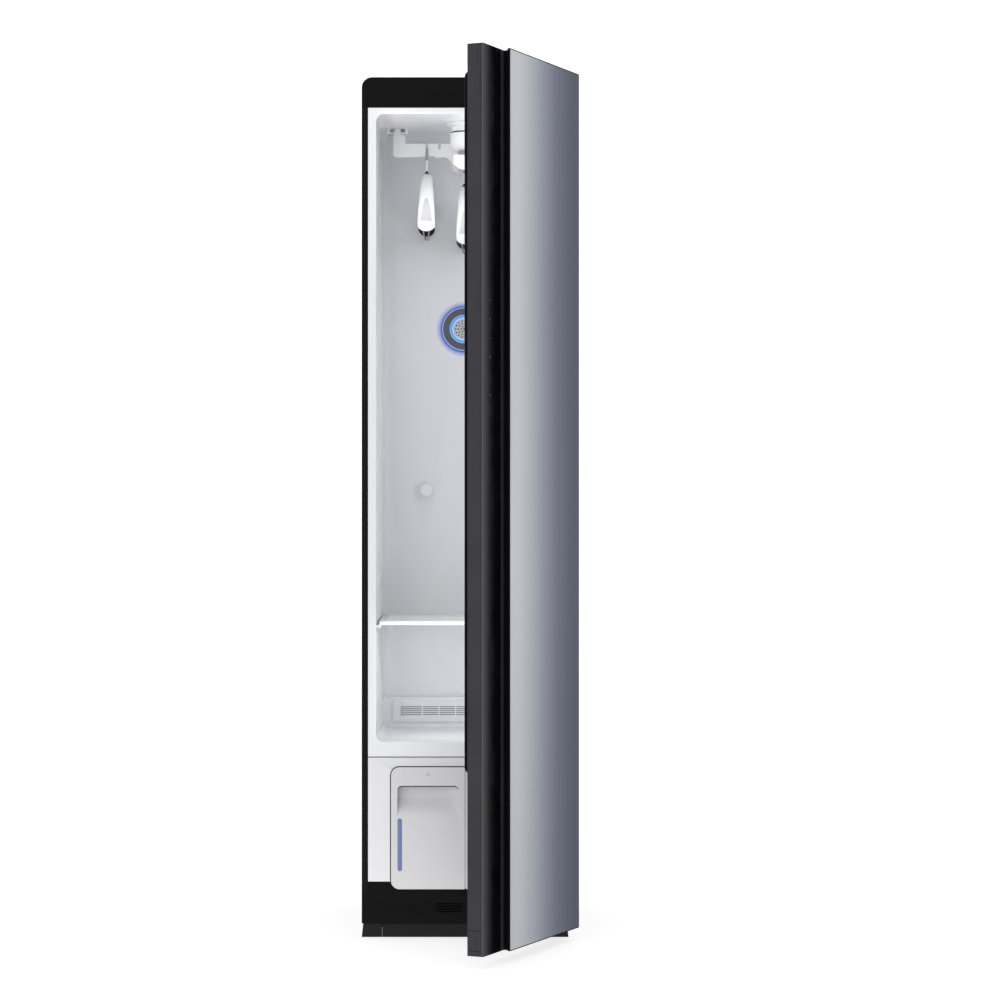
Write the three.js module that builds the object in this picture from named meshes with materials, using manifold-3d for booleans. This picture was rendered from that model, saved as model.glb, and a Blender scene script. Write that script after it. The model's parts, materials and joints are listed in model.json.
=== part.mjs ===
// A slim clothes care steam cabinet that stands on the floor, with its door part open.
// Millimetres, +X to the right, +Y to the back, +Z up. The origin is on the floor under
// the plinth's flange, in the middle of the width. Depths are counted back from the
// carcass front. The door's pieces are drawn shut and turned about the hinge pins.

import * as THREE from 'three';
import { mergeVertices } from 'three/addons/utils/BufferGeometryUtils.js';
import Module from 'manifold-3d';

// Whole cabinet
const width = 445;
const height = 1850;
const carcassDepth = 521;
const originSetback = 12;
const fitGap = 0.3;
const overrun = 2;

// Facets of round forms
const fineSides = 32;
const midSides = 20;
const smallSides = 12;
const holeSides = 6;
const cornerSteps = 4;
const curveSteps = 4;

// Sheet metal skin
const sheet = 1.2;
const barWidth = 13.4;
const barReturn = 12;
const rearFold = 15;
const ventWidth = 120;
const ventSlotHeight = 5;
const ventPitch = 13;
const ventRise = 40.6;
const ventOffset = 90;
const ventRows = 10;

// Top cap
const headerHeight = 65.6;
const headerCorner = 22;
const capWall = 3;
const hingeBlockWidth = 50;
const hingeBlockDepth = 42;

// Front levels and panels
const plinthHeight = 29.4;
const barFootRise = 62.9;
const grilleRise = 90.1;
const seamZ = 387.6;
const panelWall = 3;

// Louvres of the lower grille
const louvreTopRise = 43.6;
const louvrePitch = 5.6;
const louvreHeight = 2.8;
const louvreRows = 4;
const louvreInner = 6;
const louvreSplit = 63;
const louvreMargin = 37.1;
const louvreGroove = 1;

// Plinth, foot caps and feet
const plinthFlange = 40;
const footCapWidth = 44;
const footCapDepth = 44;
const footCapSlant = 3;
const footDiscRadius = 15;
const footDiscHeight = 7;
const footStemRadius = 4.5;
const footCollarRadius = 6;
const footCollarHeight = 6;
const footInset = 26.5;
const footDepth = 22;

// Base pan
const panThickness = 2;
const panDrop = 8.4;
const panLip = 14;
const panFrontInset = 6.5;
const skidWidth = 46;
const skidLength = 70;
const skidWall = 3;
const skidInset = 52.5;

// Cavity liner
const flangeWidth = 17.4;
const flangeTop = 13.4;
const flangeThickness = 4;
const cavityFloorRise = 32.4;
const rearSpace = 76;
const cavityDraft = 5;
const cavityCorner = 16;
const cavityBackRadius = 25;
const linerWall = 3;
const stepHeight = 70;
const stepDepth = 35;
const stepRound = 7;
const railReach = 10;
const railHeight = 6;
const railStart = 22;
const railBackGap = 33;
const ductMargin = 51.7;
const ductDepth = 14;

// Shelf
const shelfRise = 259;
const shelfThickness = 8;
const shelfPlate = 3;
const shelfSideGap = 6.7;
const shelfFront = 14;
const shelfBackGap = 9;
const shelfFrontCorner = 6;
const shelfBackCorner = 26;
const shelfGroovePitch = 19;
const shelfGrooveWidth = 2;
const shelfGrooveDepth = 1.2;
const shelfGrooveMargin = 14;

// Lint filter
const filterSideGap = 27.7;
const filterRise = 13;
const filterHeight = 49;
const filterCorner = 8;
const filterPlate = 6;
const filterSink = 0.5;
const filterRim = 6;
const filterBasketDepth = 20;
const filterWall = 3;
const filterRows = 5;
const filterPitch = 4.5;
const filterSlotHeight = 2.4;
const filterSlotDrop = 13;
const filterDivider = 3;
const filterSlotMargin = 16.5;
const filterDividerShares = [-1, -0.65, -0.39, -0.13, 0.13, 0.39, 0.65, 1];

// Tanks and their fascia
const tankSideMargin = 49.6;
const tankTopDrop = 22.1;
const tankBottomDrop = 16.5;
const tankSplit = 1;
const tankCorner = 18;
const tankInnerCorner = 3;
const tankProud = 1;
const tankFrontThickness = 25;
const tankClear = 0.6;
const tankBackGap = 7;
const vesselInset = 3;
const spoutRadius = 8;
const spoutLength = 4;
const bayWall = 3;
const bayDepthShare = 0.336;
const scoopMargin = 14;
const scoopDrop = 40.2;
const scoopHeight = 63.3;
const scoopCorner = 9;
const scoopDepth = 21;
const scoopLip = 26;
const windowWidth = 9;
const windowDrop = 7;
const windowRise = 39;
const windowSide = 14.5;
const windowRecess = 1.8;
const windowSink = 0.2;

// Hanger bar, its guides and its drive
const barThickness = 12;
const barDrop = 33.6;
const barHeight = 30.9;
const barBellyDrop = 30.5;
const barArmWidth = 27;
const barArmInset = 14;
const barArmCorner = 10;
const barCurveOuter = 60;
const barCurveInner = 30;
const notchPitch = 28;
const notchesPerSide = 3;
const notchWidth = 6;
const notchDepth = 13;
const eyeHalf = 3.5;
const eyeRise = 20;
const eyeHeight = 16;
const bracketLength = 47;
const bracketSideGap = 18.7;
const bracketDrop = 13;
const bracketHalfDepth = 14;
const bracketWall = 2;
const bracketRoof = 1.5;
const bracketWindowShares = [[0.14, 0.4], [0.61, 0.88]];
const rodRadius = 3.5;
const rodDrop = 7.6;
const runClear = 0.4;
const bossWidth = 16;
const bossHalfDepth = 8;
const hubForward = 82.5;
const hubFlangeRadius = 42;
const hubFlangeEdge = 3.5;
const hubNeckRadius = 30;
const hubNeckDrop = 19;
const hubConeHeight = 5;
const bowlRadius = 32;
const bowlDrop = 21;
const bowlHeight = 41;
const bowlRound = 22;
const crankShaftRadius = 7;
const crankShaftClear = 1;
const crankShaftRise = 8;
const crankPinRadius = 13;
const crankPinOffset = 18;
const crankPinClear = 4;
const forkClear = 1;
const forkRail = 12;
const forkHeight = 20;
const forkBelly = 13;
const forkFrontWall = 14;
const forkFrontClear = 3;
const motorWidth = 90;
const motorDepth = 80;
const motorBase = 14;
const motorCanRadius = 27;
const motorCanHeight = 44;

// Hangers
const hangerWallGap = 32.5;
const hangerNeckGap = 26;
const hangerNeckWidth = 25;
const hangerTipWidth = 40;
const hangerNeckHeight = 34;
const hangerTipHeight = 46;
const hangerDrop = 80;
const hangerTilt = 6;
const hangerDroopPowerShare = 1.6;
const hangerWidenPowerShare = 0.8;
const hangerStations = 11;
const hookWire = 4;
const hookRadius = 15;
const hookSides = 8;
const hookSteps = 28;
const hookStartAngle = 230;
const hookEndAngle = -25;
const hookBendCount = 8;
const hookStem = 9;
const hookSeat = 14;
const hangerCapWidth = 35;
const hangerCapLength = 28;
const hangerCapHeight = 15;
const hangerCapRiseShare = 0.75;
const hangerCapRound = 9;
const hangerCapInset = 3;
const hangerCapWeb = 1.6;
const trouserWidth = 11;
const trouserHeight = 17;
const trouserWall = 2;
const trouserEnd = 2;

// Round lamp and steam outlet on the back wall
const lampHeightShare = 0.681;
const bezelRadius = 50;
const bezelInner = 33;
const bezelHeight = 9;
const bezelRim = 3;
const lightInner = 24;
const lightHeight = 6;
const steamPlateHeight = 5;
const steamPlateThickness = 2;
const steamHoleRadius = 1.3;
const steamHolePitch = 6.3;
const steamHoleCounts = [1, 6, 10, 14];
const steamDuctRadius = 18;
const pegWidthShare = 0.454;
const pegHeightShare = 0.404;
const pegRadius = 14;
const pegNeckRadius = 9;
const pegLength = 22;
const pegHead = 8;
const pegRound = 3;

// Door
const doorGap = 15;
const doorRise = 5;
const doorStepDrop = 2;
const slabThickness = 34.7;
const innerPanelShare = 0.6;
const mirrorProud = 18;
const mirrorGlass = 6;
const gripInset = 11;
const stripWidth = 85.5;
const mirrorStart = 89.5;
const stripThickness = 3;
const doorSkin = 3;
const doorEdgeRound = 2;
const upperEndCap = 44;
const lowerEndCap = 51;
const ribWidth = 4;
const doorRibs = 5;
const gasketInset = 1;
const gasketWidth = 14;
const gasketRise = 0.4;
const gasketTopDrop = 52;
const gasketCorner = 16;
const hingeInset = 15;
const hingeBehindMirror = 32.5;
const doorAngleDeg = 64.1;

// Hinge hardware
const hingeArmWidth = 10;
const hingeArmThickness = 3.7;
const upperArmDrop = 44;
const hingePinRadius = 4;
const hingePinLength = 24;
const hingePinClear = 0.4;
const hingeWasherRadius = 7;
const hingeCornerBlock = 30;
const upperBlockDrop = 10;
const lowerBlockHeight = 30;
const lowerArmLength = 66;

// Machine compartment
const compressorInset = 102.5;
const compressorBackGap = 101;
const compressorRadius = 58;
const compressorHeight = 165;
const compressorDome = 26;
const compressorPlate = 150;
const compressorPlateHeight = 5;
const blowerRise = 91.7;
const blowerInset = 20;
const blowerLength = 72;
const blowerWall = 3;
const scrollStartRadius = 62;
const scrollEndRadius = 84;
const scrollStartAngle = 60;
const scrollPoints = 16;
const blowerFootHalf = 45;
const blowerFootHeight = 24;
const inletRadius = 42;
const trayWidth = 230;
const traySideGap = 22.5;
const trayDepth = 150;
const trayBackGap = 26;
const trayClear = 1;
const trayThickness = 3;
const wheelRadius = 50;
const wheelLength = 52;
const wheelDisc = 3;
const wheelBlades = 14;
const bladeWidth = 12;
const bladeThickness = 2.4;
const bladePitchDeg = 35;
const wheelHubRadius = 10;
const axleRadius = 4;
const axleLength = 40;
const coilClear = 33.7;
const coilDepth = 58;
const coilSideGap = 6;
const coilFins = 14;
const coilEnd = 8;
const coilFin = 4;
const evaporatorInset = 83;
const condenserInset = 7;
const boilerInset = 92.5;
const boilerGap = 30;
const boilerWidth = 120;
const boilerBackGap = 20;
const boilerHeight = 100;
const boilerCorner = 16;
const riserRadius = 8;
const riserSides = 8;
const riserSteps = 48;
const riserBehind = 32;
const riserLift = 180;
const riserBend = 90;
const pumpInset = 92.5;
const pumpGap = 25;
const pumpRadius = 24;
const pumpLength = 70;
const pumpFoot = 10;
const boardWidth = 200;
const boardDepth = 140;
const boardBackGap = 121;
const boardThickness = 2;
const boardStandoff = 8;
const boardStandoffRadius = 4;
const boardPartHeight = 22;

// Places worked out from the sizes above
const rad = THREE.MathUtils.degToRad;
const halfWidth = width / 2;
const frontY = -originSetback;
const deep = (depth) => frontY + depth;
const trimHalf = halfWidth - barWidth;
const cavityHalf = trimHalf - flangeWidth;

// Levels that follow the floor and the plinth
const barFootZ = plinthHeight + barFootRise;
const grilleTopZ = plinthHeight + grilleRise;
const louvreTopZ = plinthHeight + louvreTopRise;
const ventBottomZ = plinthHeight + ventRise;
const panZ = plinthHeight - panDrop;
const panTopZ = panZ + panThickness + fitGap;
const doorBottomZ = panZ + doorRise;
const lowerBlockTopZ = doorBottomZ + lowerBlockHeight;
const tankBottomZ = grilleTopZ - tankBottomDrop;
const windowBottomZ = tankBottomZ + windowRise;

// Levels that follow the seam between the tanks and the cavity
const tankTopZ = seamZ - tankTopDrop;
const scoopTopZ = tankTopZ - scoopDrop;
const scoopBottomZ = scoopTopZ - scoopHeight;
const windowTopZ = scoopBottomZ - windowDrop;
const gasketBottomZ = seamZ + gasketRise;
const cavityFloorZ = seamZ + cavityFloorRise;
const stepTopZ = cavityFloorZ + stepHeight;
const shelfTopZ = cavityFloorZ + shelfRise;
const filterBottomZ = cavityFloorZ + filterRise;
const filterTopZ = filterBottomZ + filterHeight;
const filterSlotTopZ = filterTopZ - filterSlotDrop;

// Levels that follow the top and the cavity's ceiling
const gasketTopZ = height - gasketTopDrop;
const upperArmZ = height - upperArmDrop;
const upperBlockBottomZ = upperArmZ - upperBlockDrop;
const headerZ = height - headerHeight;
const cavityTopZ = headerZ - flangeTop;
const ceilingZ = cavityTopZ - fitGap;
const linerRoofZ = cavityTopZ + linerWall + fitGap;
const bracketBottomZ = cavityTopZ - bracketDrop;
const rodZ = cavityTopZ - rodDrop;
const hubNeckBottomZ = cavityTopZ - hubNeckDrop;
const bowlTopZ = cavityTopZ - bowlDrop;
const bowlBottomZ = bowlTopZ - bowlHeight;
const barTopZ = cavityTopZ - barDrop;
const barBottomZ = barTopZ - barHeight;
const barCentreBottomZ = barBottomZ - barBellyDrop;
const eyeBottomZ = barCentreBottomZ + eyeRise;
const eyeTopZ = eyeBottomZ + eyeHeight;
const crankPinBottomZ = barCentreBottomZ + crankPinClear;
const lampZ = THREE.MathUtils.lerp(cavityFloorZ, cavityTopZ, lampHeightShare);
const pegZ = THREE.MathUtils.lerp(cavityFloorZ, cavityTopZ, pegHeightShare);

// Depths behind the carcass front
const cavityDepth = carcassDepth - rearSpace;
const barDepth = cavityDepth / 2;
const hangerHalf = barDepth - hangerWallGap;
const hubDepth = barDepth - hubForward;
const railEnd = cavityDepth - railBackGap;
const shelfBack = cavityDepth - shelfBackGap;
const trayBack = carcassDepth - trayBackGap;
const trayFront = trayBack - trayDepth;
const blowerFront = trayFront + blowerInset;
const condenserFront = trayFront + condenserInset;
const evaporatorFront = trayFront + evaporatorInset;
const bayDepth = carcassDepth * bayDepthShare;
const tankDepth = bayDepth - tankBackGap;
const compressorDepth = carcassDepth - compressorBackGap;
const boilerLength = compressorDepth - compressorPlate / 2 - boilerBackGap - bayDepth - boilerGap;
const boilerDepth = bayDepth + boilerGap + boilerLength / 2;
const pumpDepth = bayDepth + pumpGap + pumpLength / 2;
const boardStart = carcassDepth - boardBackGap - boardDepth;
const backWallY = deep(cavityDepth);
const stepFaceY = deep(cavityDepth - stepDepth);

// Places across the width
const footX = halfWidth - footInset;
const skidX = halfWidth - skidInset;
const panFrontHalf = halfWidth - panFrontInset;
const louvreOuter = trimHalf - louvreMargin;
const gasketOuterX = trimHalf - gasketInset;
const ductHalf = cavityHalf - ductMargin;
const shelfHalf = cavityHalf - shelfSideGap;
const filterHalf = cavityHalf - filterSideGap;
const filterSlotHalf = filterHalf - filterSlotMargin;
const pegX = cavityHalf * pegWidthShare;
const bracketOuter = cavityHalf - bracketSideGap;
const bracketInner = bracketOuter - bracketLength;
const barArmOuter = bracketOuter - barArmInset;
const barArmInner = barArmOuter - barArmWidth;
const tankWidth = trimHalf - tankSideMargin - tankSplit / 2;
const scoopWidth = tankWidth - 2 * scoopMargin;
const trayRight = halfWidth - traySideGap;
const trayLeft = trayRight - trayWidth;
const blowerX = (trayLeft + trayRight) / 2;
const compressorX = compressorInset - halfWidth;
const boilerX = boilerInset - halfWidth;
const pumpX = halfWidth - pumpInset;

// The blower, with the drip tray and the coils over it
const blowerZ = panTopZ + blowerRise;
const trayZ = blowerZ + scrollEndRadius + trayClear;
const coilBottomZ = trayZ + trayThickness + fitGap;
const coilTopZ = cavityFloorZ - linerWall - coilClear;
const wheelY = deep(blowerFront) + (blowerLength - wheelLength) / 2;

// The door, drawn shut
const pivotX = halfWidth - hingeInset;
const doorFaceY = deep(-doorGap);
const slabFrontY = doorFaceY - slabThickness;
const mirrorFaceY = slabFrontY - mirrorProud;
const pivotY = mirrorFaceY + hingeBehindMirror;
const innerPanelY = doorFaceY - slabThickness * innerPanelShare;
const slabTopZ = height - doorStepDrop;
const footCapInner = halfWidth - footCapWidth;

const wasm = await Module();
wasm.setup();

// A closed three.js geometry as a solid, with its faces turned out if they point in.
function solid(geometry) {
  const bare = new THREE.BufferGeometry();
  bare.setAttribute('position', geometry.getAttribute('position'));
  if (geometry.index) bare.setIndex(geometry.index);
  const merged = mergeVertices(bare);
  const triangles = [];
  const index = merged.index.array;
  for (let i = 0; i < index.length; i += 3) {
    const [a, b, c] = [index[i], index[i + 1], index[i + 2]];
    if (a !== b && b !== c && c !== a) triangles.push(a, b, c);
  }
  const build = (list) => new wasm.Manifold(new wasm.Mesh({
    numProp: 3,
    vertProperties: Float32Array.from(merged.getAttribute('position').array),
    triVerts: Uint32Array.from(list),
  }));
  const made = build(triangles);
  return made.volume() < 0 ? build(triangles.reverse()) : made;
}

const unite = (first, ...rest) => rest.reduce((whole, piece) => whole.add(piece), first);
const cut = (base, ...tools) => tools.reduce((left, tool) => left.subtract(tool), base);
const common = (a, b) => a.intersect(b);

// The same solid on the other side of the middle plane.
function mirrored(piece) {
  const mesh = piece.getMesh();
  const geometry = new THREE.BufferGeometry();
  const flipped = mesh.vertProperties.map((value, i) => (i % 3 === 0 ? -value : value));
  geometry.setAttribute('position', new THREE.BufferAttribute(flipped, 3));
  geometry.setIndex(new THREE.BufferAttribute(mesh.triVerts, 1));
  return solid(geometry);
}

function block(x0, x1, y0, y1, z0, z1) {
  const geometry = new THREE.BoxGeometry(x1 - x0, y1 - y0, z1 - z0);
  geometry.translate((x0 + x1) / 2, (y0 + y1) / 2, (z0 + z1) / 2);
  return solid(geometry);
}

function outline(points) {
  return new THREE.Shape(points.map(([a, b]) => new THREE.Vector2(a, b)));
}

// A rectangle with rounded corners, in the order low-low, high-low, high-high, low-high.
function roundedOutline(a0, a1, b0, b1, radii) {
  const [r0, r1, r2, r3] = Array.isArray(radii) ? radii : [radii, radii, radii, radii];
  const shape = new THREE.Shape();
  shape.moveTo(a0 + r0, b0);
  shape.lineTo(a1 - r1, b0);
  if (r1) shape.absarc(a1 - r1, b0 + r1, r1, -Math.PI / 2, 0);
  shape.lineTo(a1, b1 - r2);
  if (r2) shape.absarc(a1 - r2, b1 - r2, r2, 0, Math.PI / 2);
  shape.lineTo(a0 + r3, b1);
  if (r3) shape.absarc(a0 + r3, b1 - r3, r3, Math.PI / 2, Math.PI);
  shape.lineTo(a0, b0 + r0);
  if (r0) shape.absarc(a0 + r0, b0 + r0, r0, Math.PI, Math.PI * 1.5);
  return shape;
}

function extruded(shape, length, axes, origin, bevel = 0) {
  const geometry = new THREE.ExtrudeGeometry(shape, {
    depth: length - 2 * bevel,
    curveSegments: curveSteps,
    bevelEnabled: bevel > 0,
    bevelSize: bevel,
    bevelOffset: -bevel,
    bevelThickness: bevel,
    bevelSegments: 2,
  });
  geometry.translate(0, 0, bevel);
  geometry.applyMatrix4(new THREE.Matrix4().makeBasis(...axes));
  geometry.translate(...origin);
  return solid(geometry);
}

const unitX = new THREE.Vector3(1, 0, 0);
const unitY = new THREE.Vector3(0, 1, 0);
const unitZ = new THREE.Vector3(0, 0, 1);
const unitFront = new THREE.Vector3(0, -1, 0);

// A plan outline, in X and Y, between two heights.
const alongZ = (shape, z0, z1, bevel) =>
  extruded(shape, z1 - z0, [unitX, unitY, unitZ], [0, 0, z0], bevel);
// A front outline, in X and Z, between two places from front to back.
const alongY = (shape, y0, y1, bevel) =>
  extruded(shape, y1 - y0, [unitX, unitZ, unitFront], [0, y1, 0], bevel);
// A side outline, in Y and Z, between two places from left to right.
const alongX = (shape, x0, x1, bevel) =>
  extruded(shape, x1 - x0, [unitY, unitZ, unitX], [x0, 0, 0], bevel);

// A profile of [radius, place on the axis] turned about an axis; it ends on the axis or closes.
function turned(profile, sides) {
  const points = profile.map(([r, h]) => new THREE.Vector2(r, h));
  const onAxis = profile[0][0] === 0 && profile[profile.length - 1][0] === 0;
  if (!onAxis) points.push(points[0].clone());
  return new THREE.LatheGeometry(points, sides);
}

function turnedZ(profile, x, y, sides) {
  return solid(turned(profile, sides).rotateX(Math.PI / 2).translate(x, y, 0));
}

function turnedY(profile, x, z, sides) {
  return solid(turned(profile, sides).translate(x, 0, z));
}

function drum(r, from, to) {
  return [[0, from], [r, from], [r, to], [0, to]];
}

const drumZ = (r, x, y, z0, z1, sides) => turnedZ(drum(r, z0, z1), x, y, sides);
const drumY = (r, x, z, y0, y1, sides) => turnedY(drum(r, y0, y1), x, z, sides);

function drumX(r, y, z, x0, x1, sides) {
  return solid(turned(drum(r, -x1, -x0), sides).rotateZ(Math.PI / 2).translate(0, y, z));
}

function sweep(curve, radius, sides, steps) {
  const section = outline(Array.from({ length: sides }, (_, i) => {
    const angle = (i / sides) * Math.PI * 2;
    return [radius * Math.cos(angle), radius * Math.sin(angle)];
  }));
  return solid(new THREE.ExtrudeGeometry(section, { steps, extrudePath: curve }));
}

// Closed rings of as many points each, joined in order, with flat ends.
function loft(rings) {
  const count = rings[0].length;
  const positions = rings.flat().flatMap((point) => point.toArray());
  const index = [];
  for (let i = 0; i + 1 < rings.length; i += 1) {
    for (let j = 0; j < count; j += 1) {
      const next = (j + 1) % count;
      const [a, b] = [i * count + j, i * count + next];
      index.push(a, b, b + count, a, b + count, a + count);
    }
  }
  const last = (rings.length - 1) * count;
  for (let j = 1; j + 1 < count; j += 1) {
    index.push(0, j + 1, j);
    index.push(last, last + j, last + j + 1);
  }
  const geometry = new THREE.BufferGeometry();
  geometry.setAttribute('position', new THREE.Float32BufferAttribute(positions, 3));
  geometry.setIndex(index);
  return solid(geometry);
}

// A rounded rectangle of points in an upright plane across the depth.
function uprightRing(x0, x1, z0, z1, radius, y) {
  const corners = [
    [x1 - radius, z1 - radius],
    [x0 + radius, z1 - radius],
    [x0 + radius, z0 + radius],
    [x1 - radius, z0 + radius],
  ];
  return corners.flatMap(([x, z], quarter) =>
    Array.from({ length: cornerSteps + 1 }, (_, step) => {
      const angle = (quarter + step / cornerSteps) * (Math.PI / 2);
      return new THREE.Vector3(x + radius * Math.cos(angle), y, z + radius * Math.sin(angle));
    }));
}

function paint(colour, roughness, metalness = 0) {
  return new THREE.MeshStandardMaterial({ color: colour, roughness, metalness });
}

const looks = {
  blackTrim: paint(0x1b1b1c, 0.45),
  blackSteel: paint(0x202024, 0.4, 0.2),
  plinthGrey: paint(0x2b2b2d, 0.5),
  whiteLiner: paint(0xe9eaec, 0.3),
  whitePlastic: paint(0xf2f2f3, 0.35),
  tankGrey: paint(0xdcdcdf, 0.3),
  tankBlue: paint(0x9fb4cc, 0.15),
  levelBlue: paint(0x7f93c0, 0.2),
  shelfWhite: paint(0xe6e9ec, 0.2),
  steel: paint(0xb8babd, 0.3, 0.9),
  galvanised: paint(0x9a9da1, 0.45, 0.8),
  darkGrey: paint(0x3f3f43, 0.4),
  gasketBlack: paint(0x121213, 0.7),
  mirror: paint(0x9aa0aa, 0.05, 1),
  glassBlack: paint(0x050506, 0.05),
  lampBlue: paint(0x5f8fe8, 0.3),
  lampGrey: paint(0x55575c, 0.5),
  plateGrey: paint(0xa9abb2, 0.4),
  rubber: paint(0x2d2d2f, 0.8),
  compressorBlack: paint(0x171718, 0.5),
  aluminium: paint(0xc5c7ca, 0.35, 0.9),
  boardGreen: paint(0x2f6b45, 0.5),
};

function add(group, name, piece, look) {
  const mesh = piece.getMesh();
  const geometry = new THREE.BufferGeometry();
  geometry.setAttribute('position', new THREE.BufferAttribute(mesh.vertProperties, 3));
  geometry.setIndex(new THREE.BufferAttribute(mesh.triVerts, 1));
  geometry.computeVertexNormals();
  const part = new THREE.Mesh(geometry, look);
  part.name = name;
  group.add(part);
}

// Sheet steel side: outer wall, front fold that shows as a black bar, and a rear fold.
function sidePanel() {
  const backY = deep(carcassDepth - sheet) - fitGap;
  const plan = outline([
    [halfWidth, frontY],
    [halfWidth, backY],
    [halfWidth - rearFold, backY],
    [halfWidth - rearFold, backY - sheet],
    [halfWidth - sheet, backY - sheet],
    [halfWidth - sheet, frontY + sheet],
    [trimHalf + sheet, frontY + sheet],
    [trimHalf + sheet, frontY + barReturn],
    [trimHalf, frontY + barReturn],
    [trimHalf, frontY],
  ]);
  const panel = alongZ(plan, plinthHeight, headerZ - fitGap);
  const grilleRoom = block(
    trimHalf - overrun, halfWidth + overrun,
    frontY - overrun, frontY + panelWall + fitGap,
    plinthHeight - overrun, barFootZ,
  );
  const returnRoom = block(
    trimHalf - overrun, halfWidth - sheet,
    frontY - overrun, frontY + barReturn + overrun,
    plinthHeight - overrun, barFootZ,
  );
  return cut(panel, grilleRoom, returnRoom);
}

// Deep moulded cap, open below, with a solid block that the upper hinge is screwed to.
function topCap() {
  const backY = deep(carcassDepth);
  const shell = alongY(
    roundedOutline(-halfWidth, halfWidth, headerZ, height, [0, 0, headerCorner, headerCorner]),
    frontY, backY,
  );
  const innerCorner = headerCorner - capWall;
  const hollow = alongY(
    roundedOutline(
      -halfWidth + capWall, halfWidth - capWall,
      headerZ - overrun, height - capWall,
      [0, 0, innerCorner, innerCorner],
    ),
    frontY + capWall, backY - capWall,
  );
  const hingeBlock = block(
    halfWidth - hingeBlockWidth, halfWidth - capWall / 2,
    frontY + capWall / 2, deep(hingeBlockDepth),
    headerZ, upperArmZ - fitGap,
  );
  const armSlot = block(
    pivotX - hingeArmWidth / 2 - fitGap, pivotX + hingeArmWidth / 2 + fitGap,
    frontY - overrun, frontY + capWall + overrun,
    upperArmZ - fitGap, upperArmZ + hingeArmThickness + fitGap,
  );
  return cut(unite(cut(shell, hollow), hingeBlock), armSlot);
}

// Flat back of the carcass with two columns of vent slots for the machine compartment.
function rearPanel() {
  const [y0, y1] = [deep(carcassDepth - sheet), deep(carcassDepth)];
  const plate = block(-halfWidth, halfWidth, y0, y1, plinthHeight, headerZ - fitGap);
  const slots = [];
  for (const side of [-1, 1]) {
    for (let row = 0; row < ventRows; row += 1) {
      const z = ventBottomZ + row * ventPitch;
      const x = side * ventOffset;
      slots.push(block(
        x - ventWidth / 2, x + ventWidth / 2, y0 - overrun, y1 + overrun, z, z + ventSlotHeight,
      ));
    }
  }
  return cut(plate, ...slots);
}

// Pressed steel pan under the machines, with raised lips and two skids at the back.
function basePan() {
  const wideHalf = halfWidth - sheet - fitGap;
  const frontZoneY = deep(footCapDepth) + fitGap;
  const backY = deep(carcassDepth - 2 * sheet) - 2 * fitGap;
  const plan = outline([
    [-panFrontHalf, frontY + panelWall + fitGap],
    [panFrontHalf, frontY + panelWall + fitGap],
    [panFrontHalf, frontZoneY],
    [wideHalf, frontZoneY],
    [wideHalf, backY],
    [-wideHalf, backY],
    [-wideHalf, frontZoneY],
    [-panFrontHalf, frontZoneY],
  ]);
  const lipRoom = block(
    -wideHalf + sheet, wideHalf - sheet,
    frontY, backY - sheet,
    panZ + panThickness, panZ + panLip + overrun,
  );
  const frontRoom = block(
    -halfWidth, halfWidth, frontY, frontZoneY, panZ + panThickness, panZ + panLip + overrun,
  );
  const pan = cut(alongZ(plan, panZ, panZ + panLip), lipRoom, frontRoom);
  const skidY = backY - skidLength;
  const skids = [-1, 1].map((side) => {
    const x = side * skidX;
    const body = alongX(
      roundedOutline(skidY, backY, 0, panZ + panThickness / 2, [skidWall, skidWall, 0, 0]),
      x - skidWidth / 2, x + skidWidth / 2,
    );
    const relief = block(
      x - skidWidth / 2 + skidWall, x + skidWidth / 2 - skidWall,
      skidY + skidWall, backY - skidWall,
      -overrun, panZ,
    );
    return cut(body, relief);
  });
  const stemHoles = [-1, 1].map((side) => drumZ(
    footStemRadius + runClear, side * footX, deep(footDepth), panZ - overrun,
    panZ + panThickness + overrun, smallSides,
  ));
  return cut(unite(pan, ...skids), ...stemHoles);
}

// Rings of the cavity's wall, from the front opening to the rounded back, grown by a wall.
function cavityRings(wall, startY) {
  const rings = [];
  const ringAt = (depth, inset) => {
    const half = cavityHalf - inset - cavityDraft * (depth / cavityDepth) + wall;
    rings.push(uprightRing(
      -half, half,
      cavityFloorZ + inset - wall, cavityTopZ - inset + wall,
      cavityCorner + wall, deep(depth),
    ));
  };
  ringAt(startY, 0);
  const straight = cavityDepth - cavityBackRadius;
  for (let step = 0; step <= cornerSteps; step += 1) {
    const angle = (step / cornerSteps) * (Math.PI / 2);
    const reach = (cavityBackRadius + wall) * Math.sin(angle);
    const inset = (cavityBackRadius + wall) * (1 - Math.cos(angle));
    ringAt(straight + reach, inset);
  }
  return rings;
}

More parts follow.
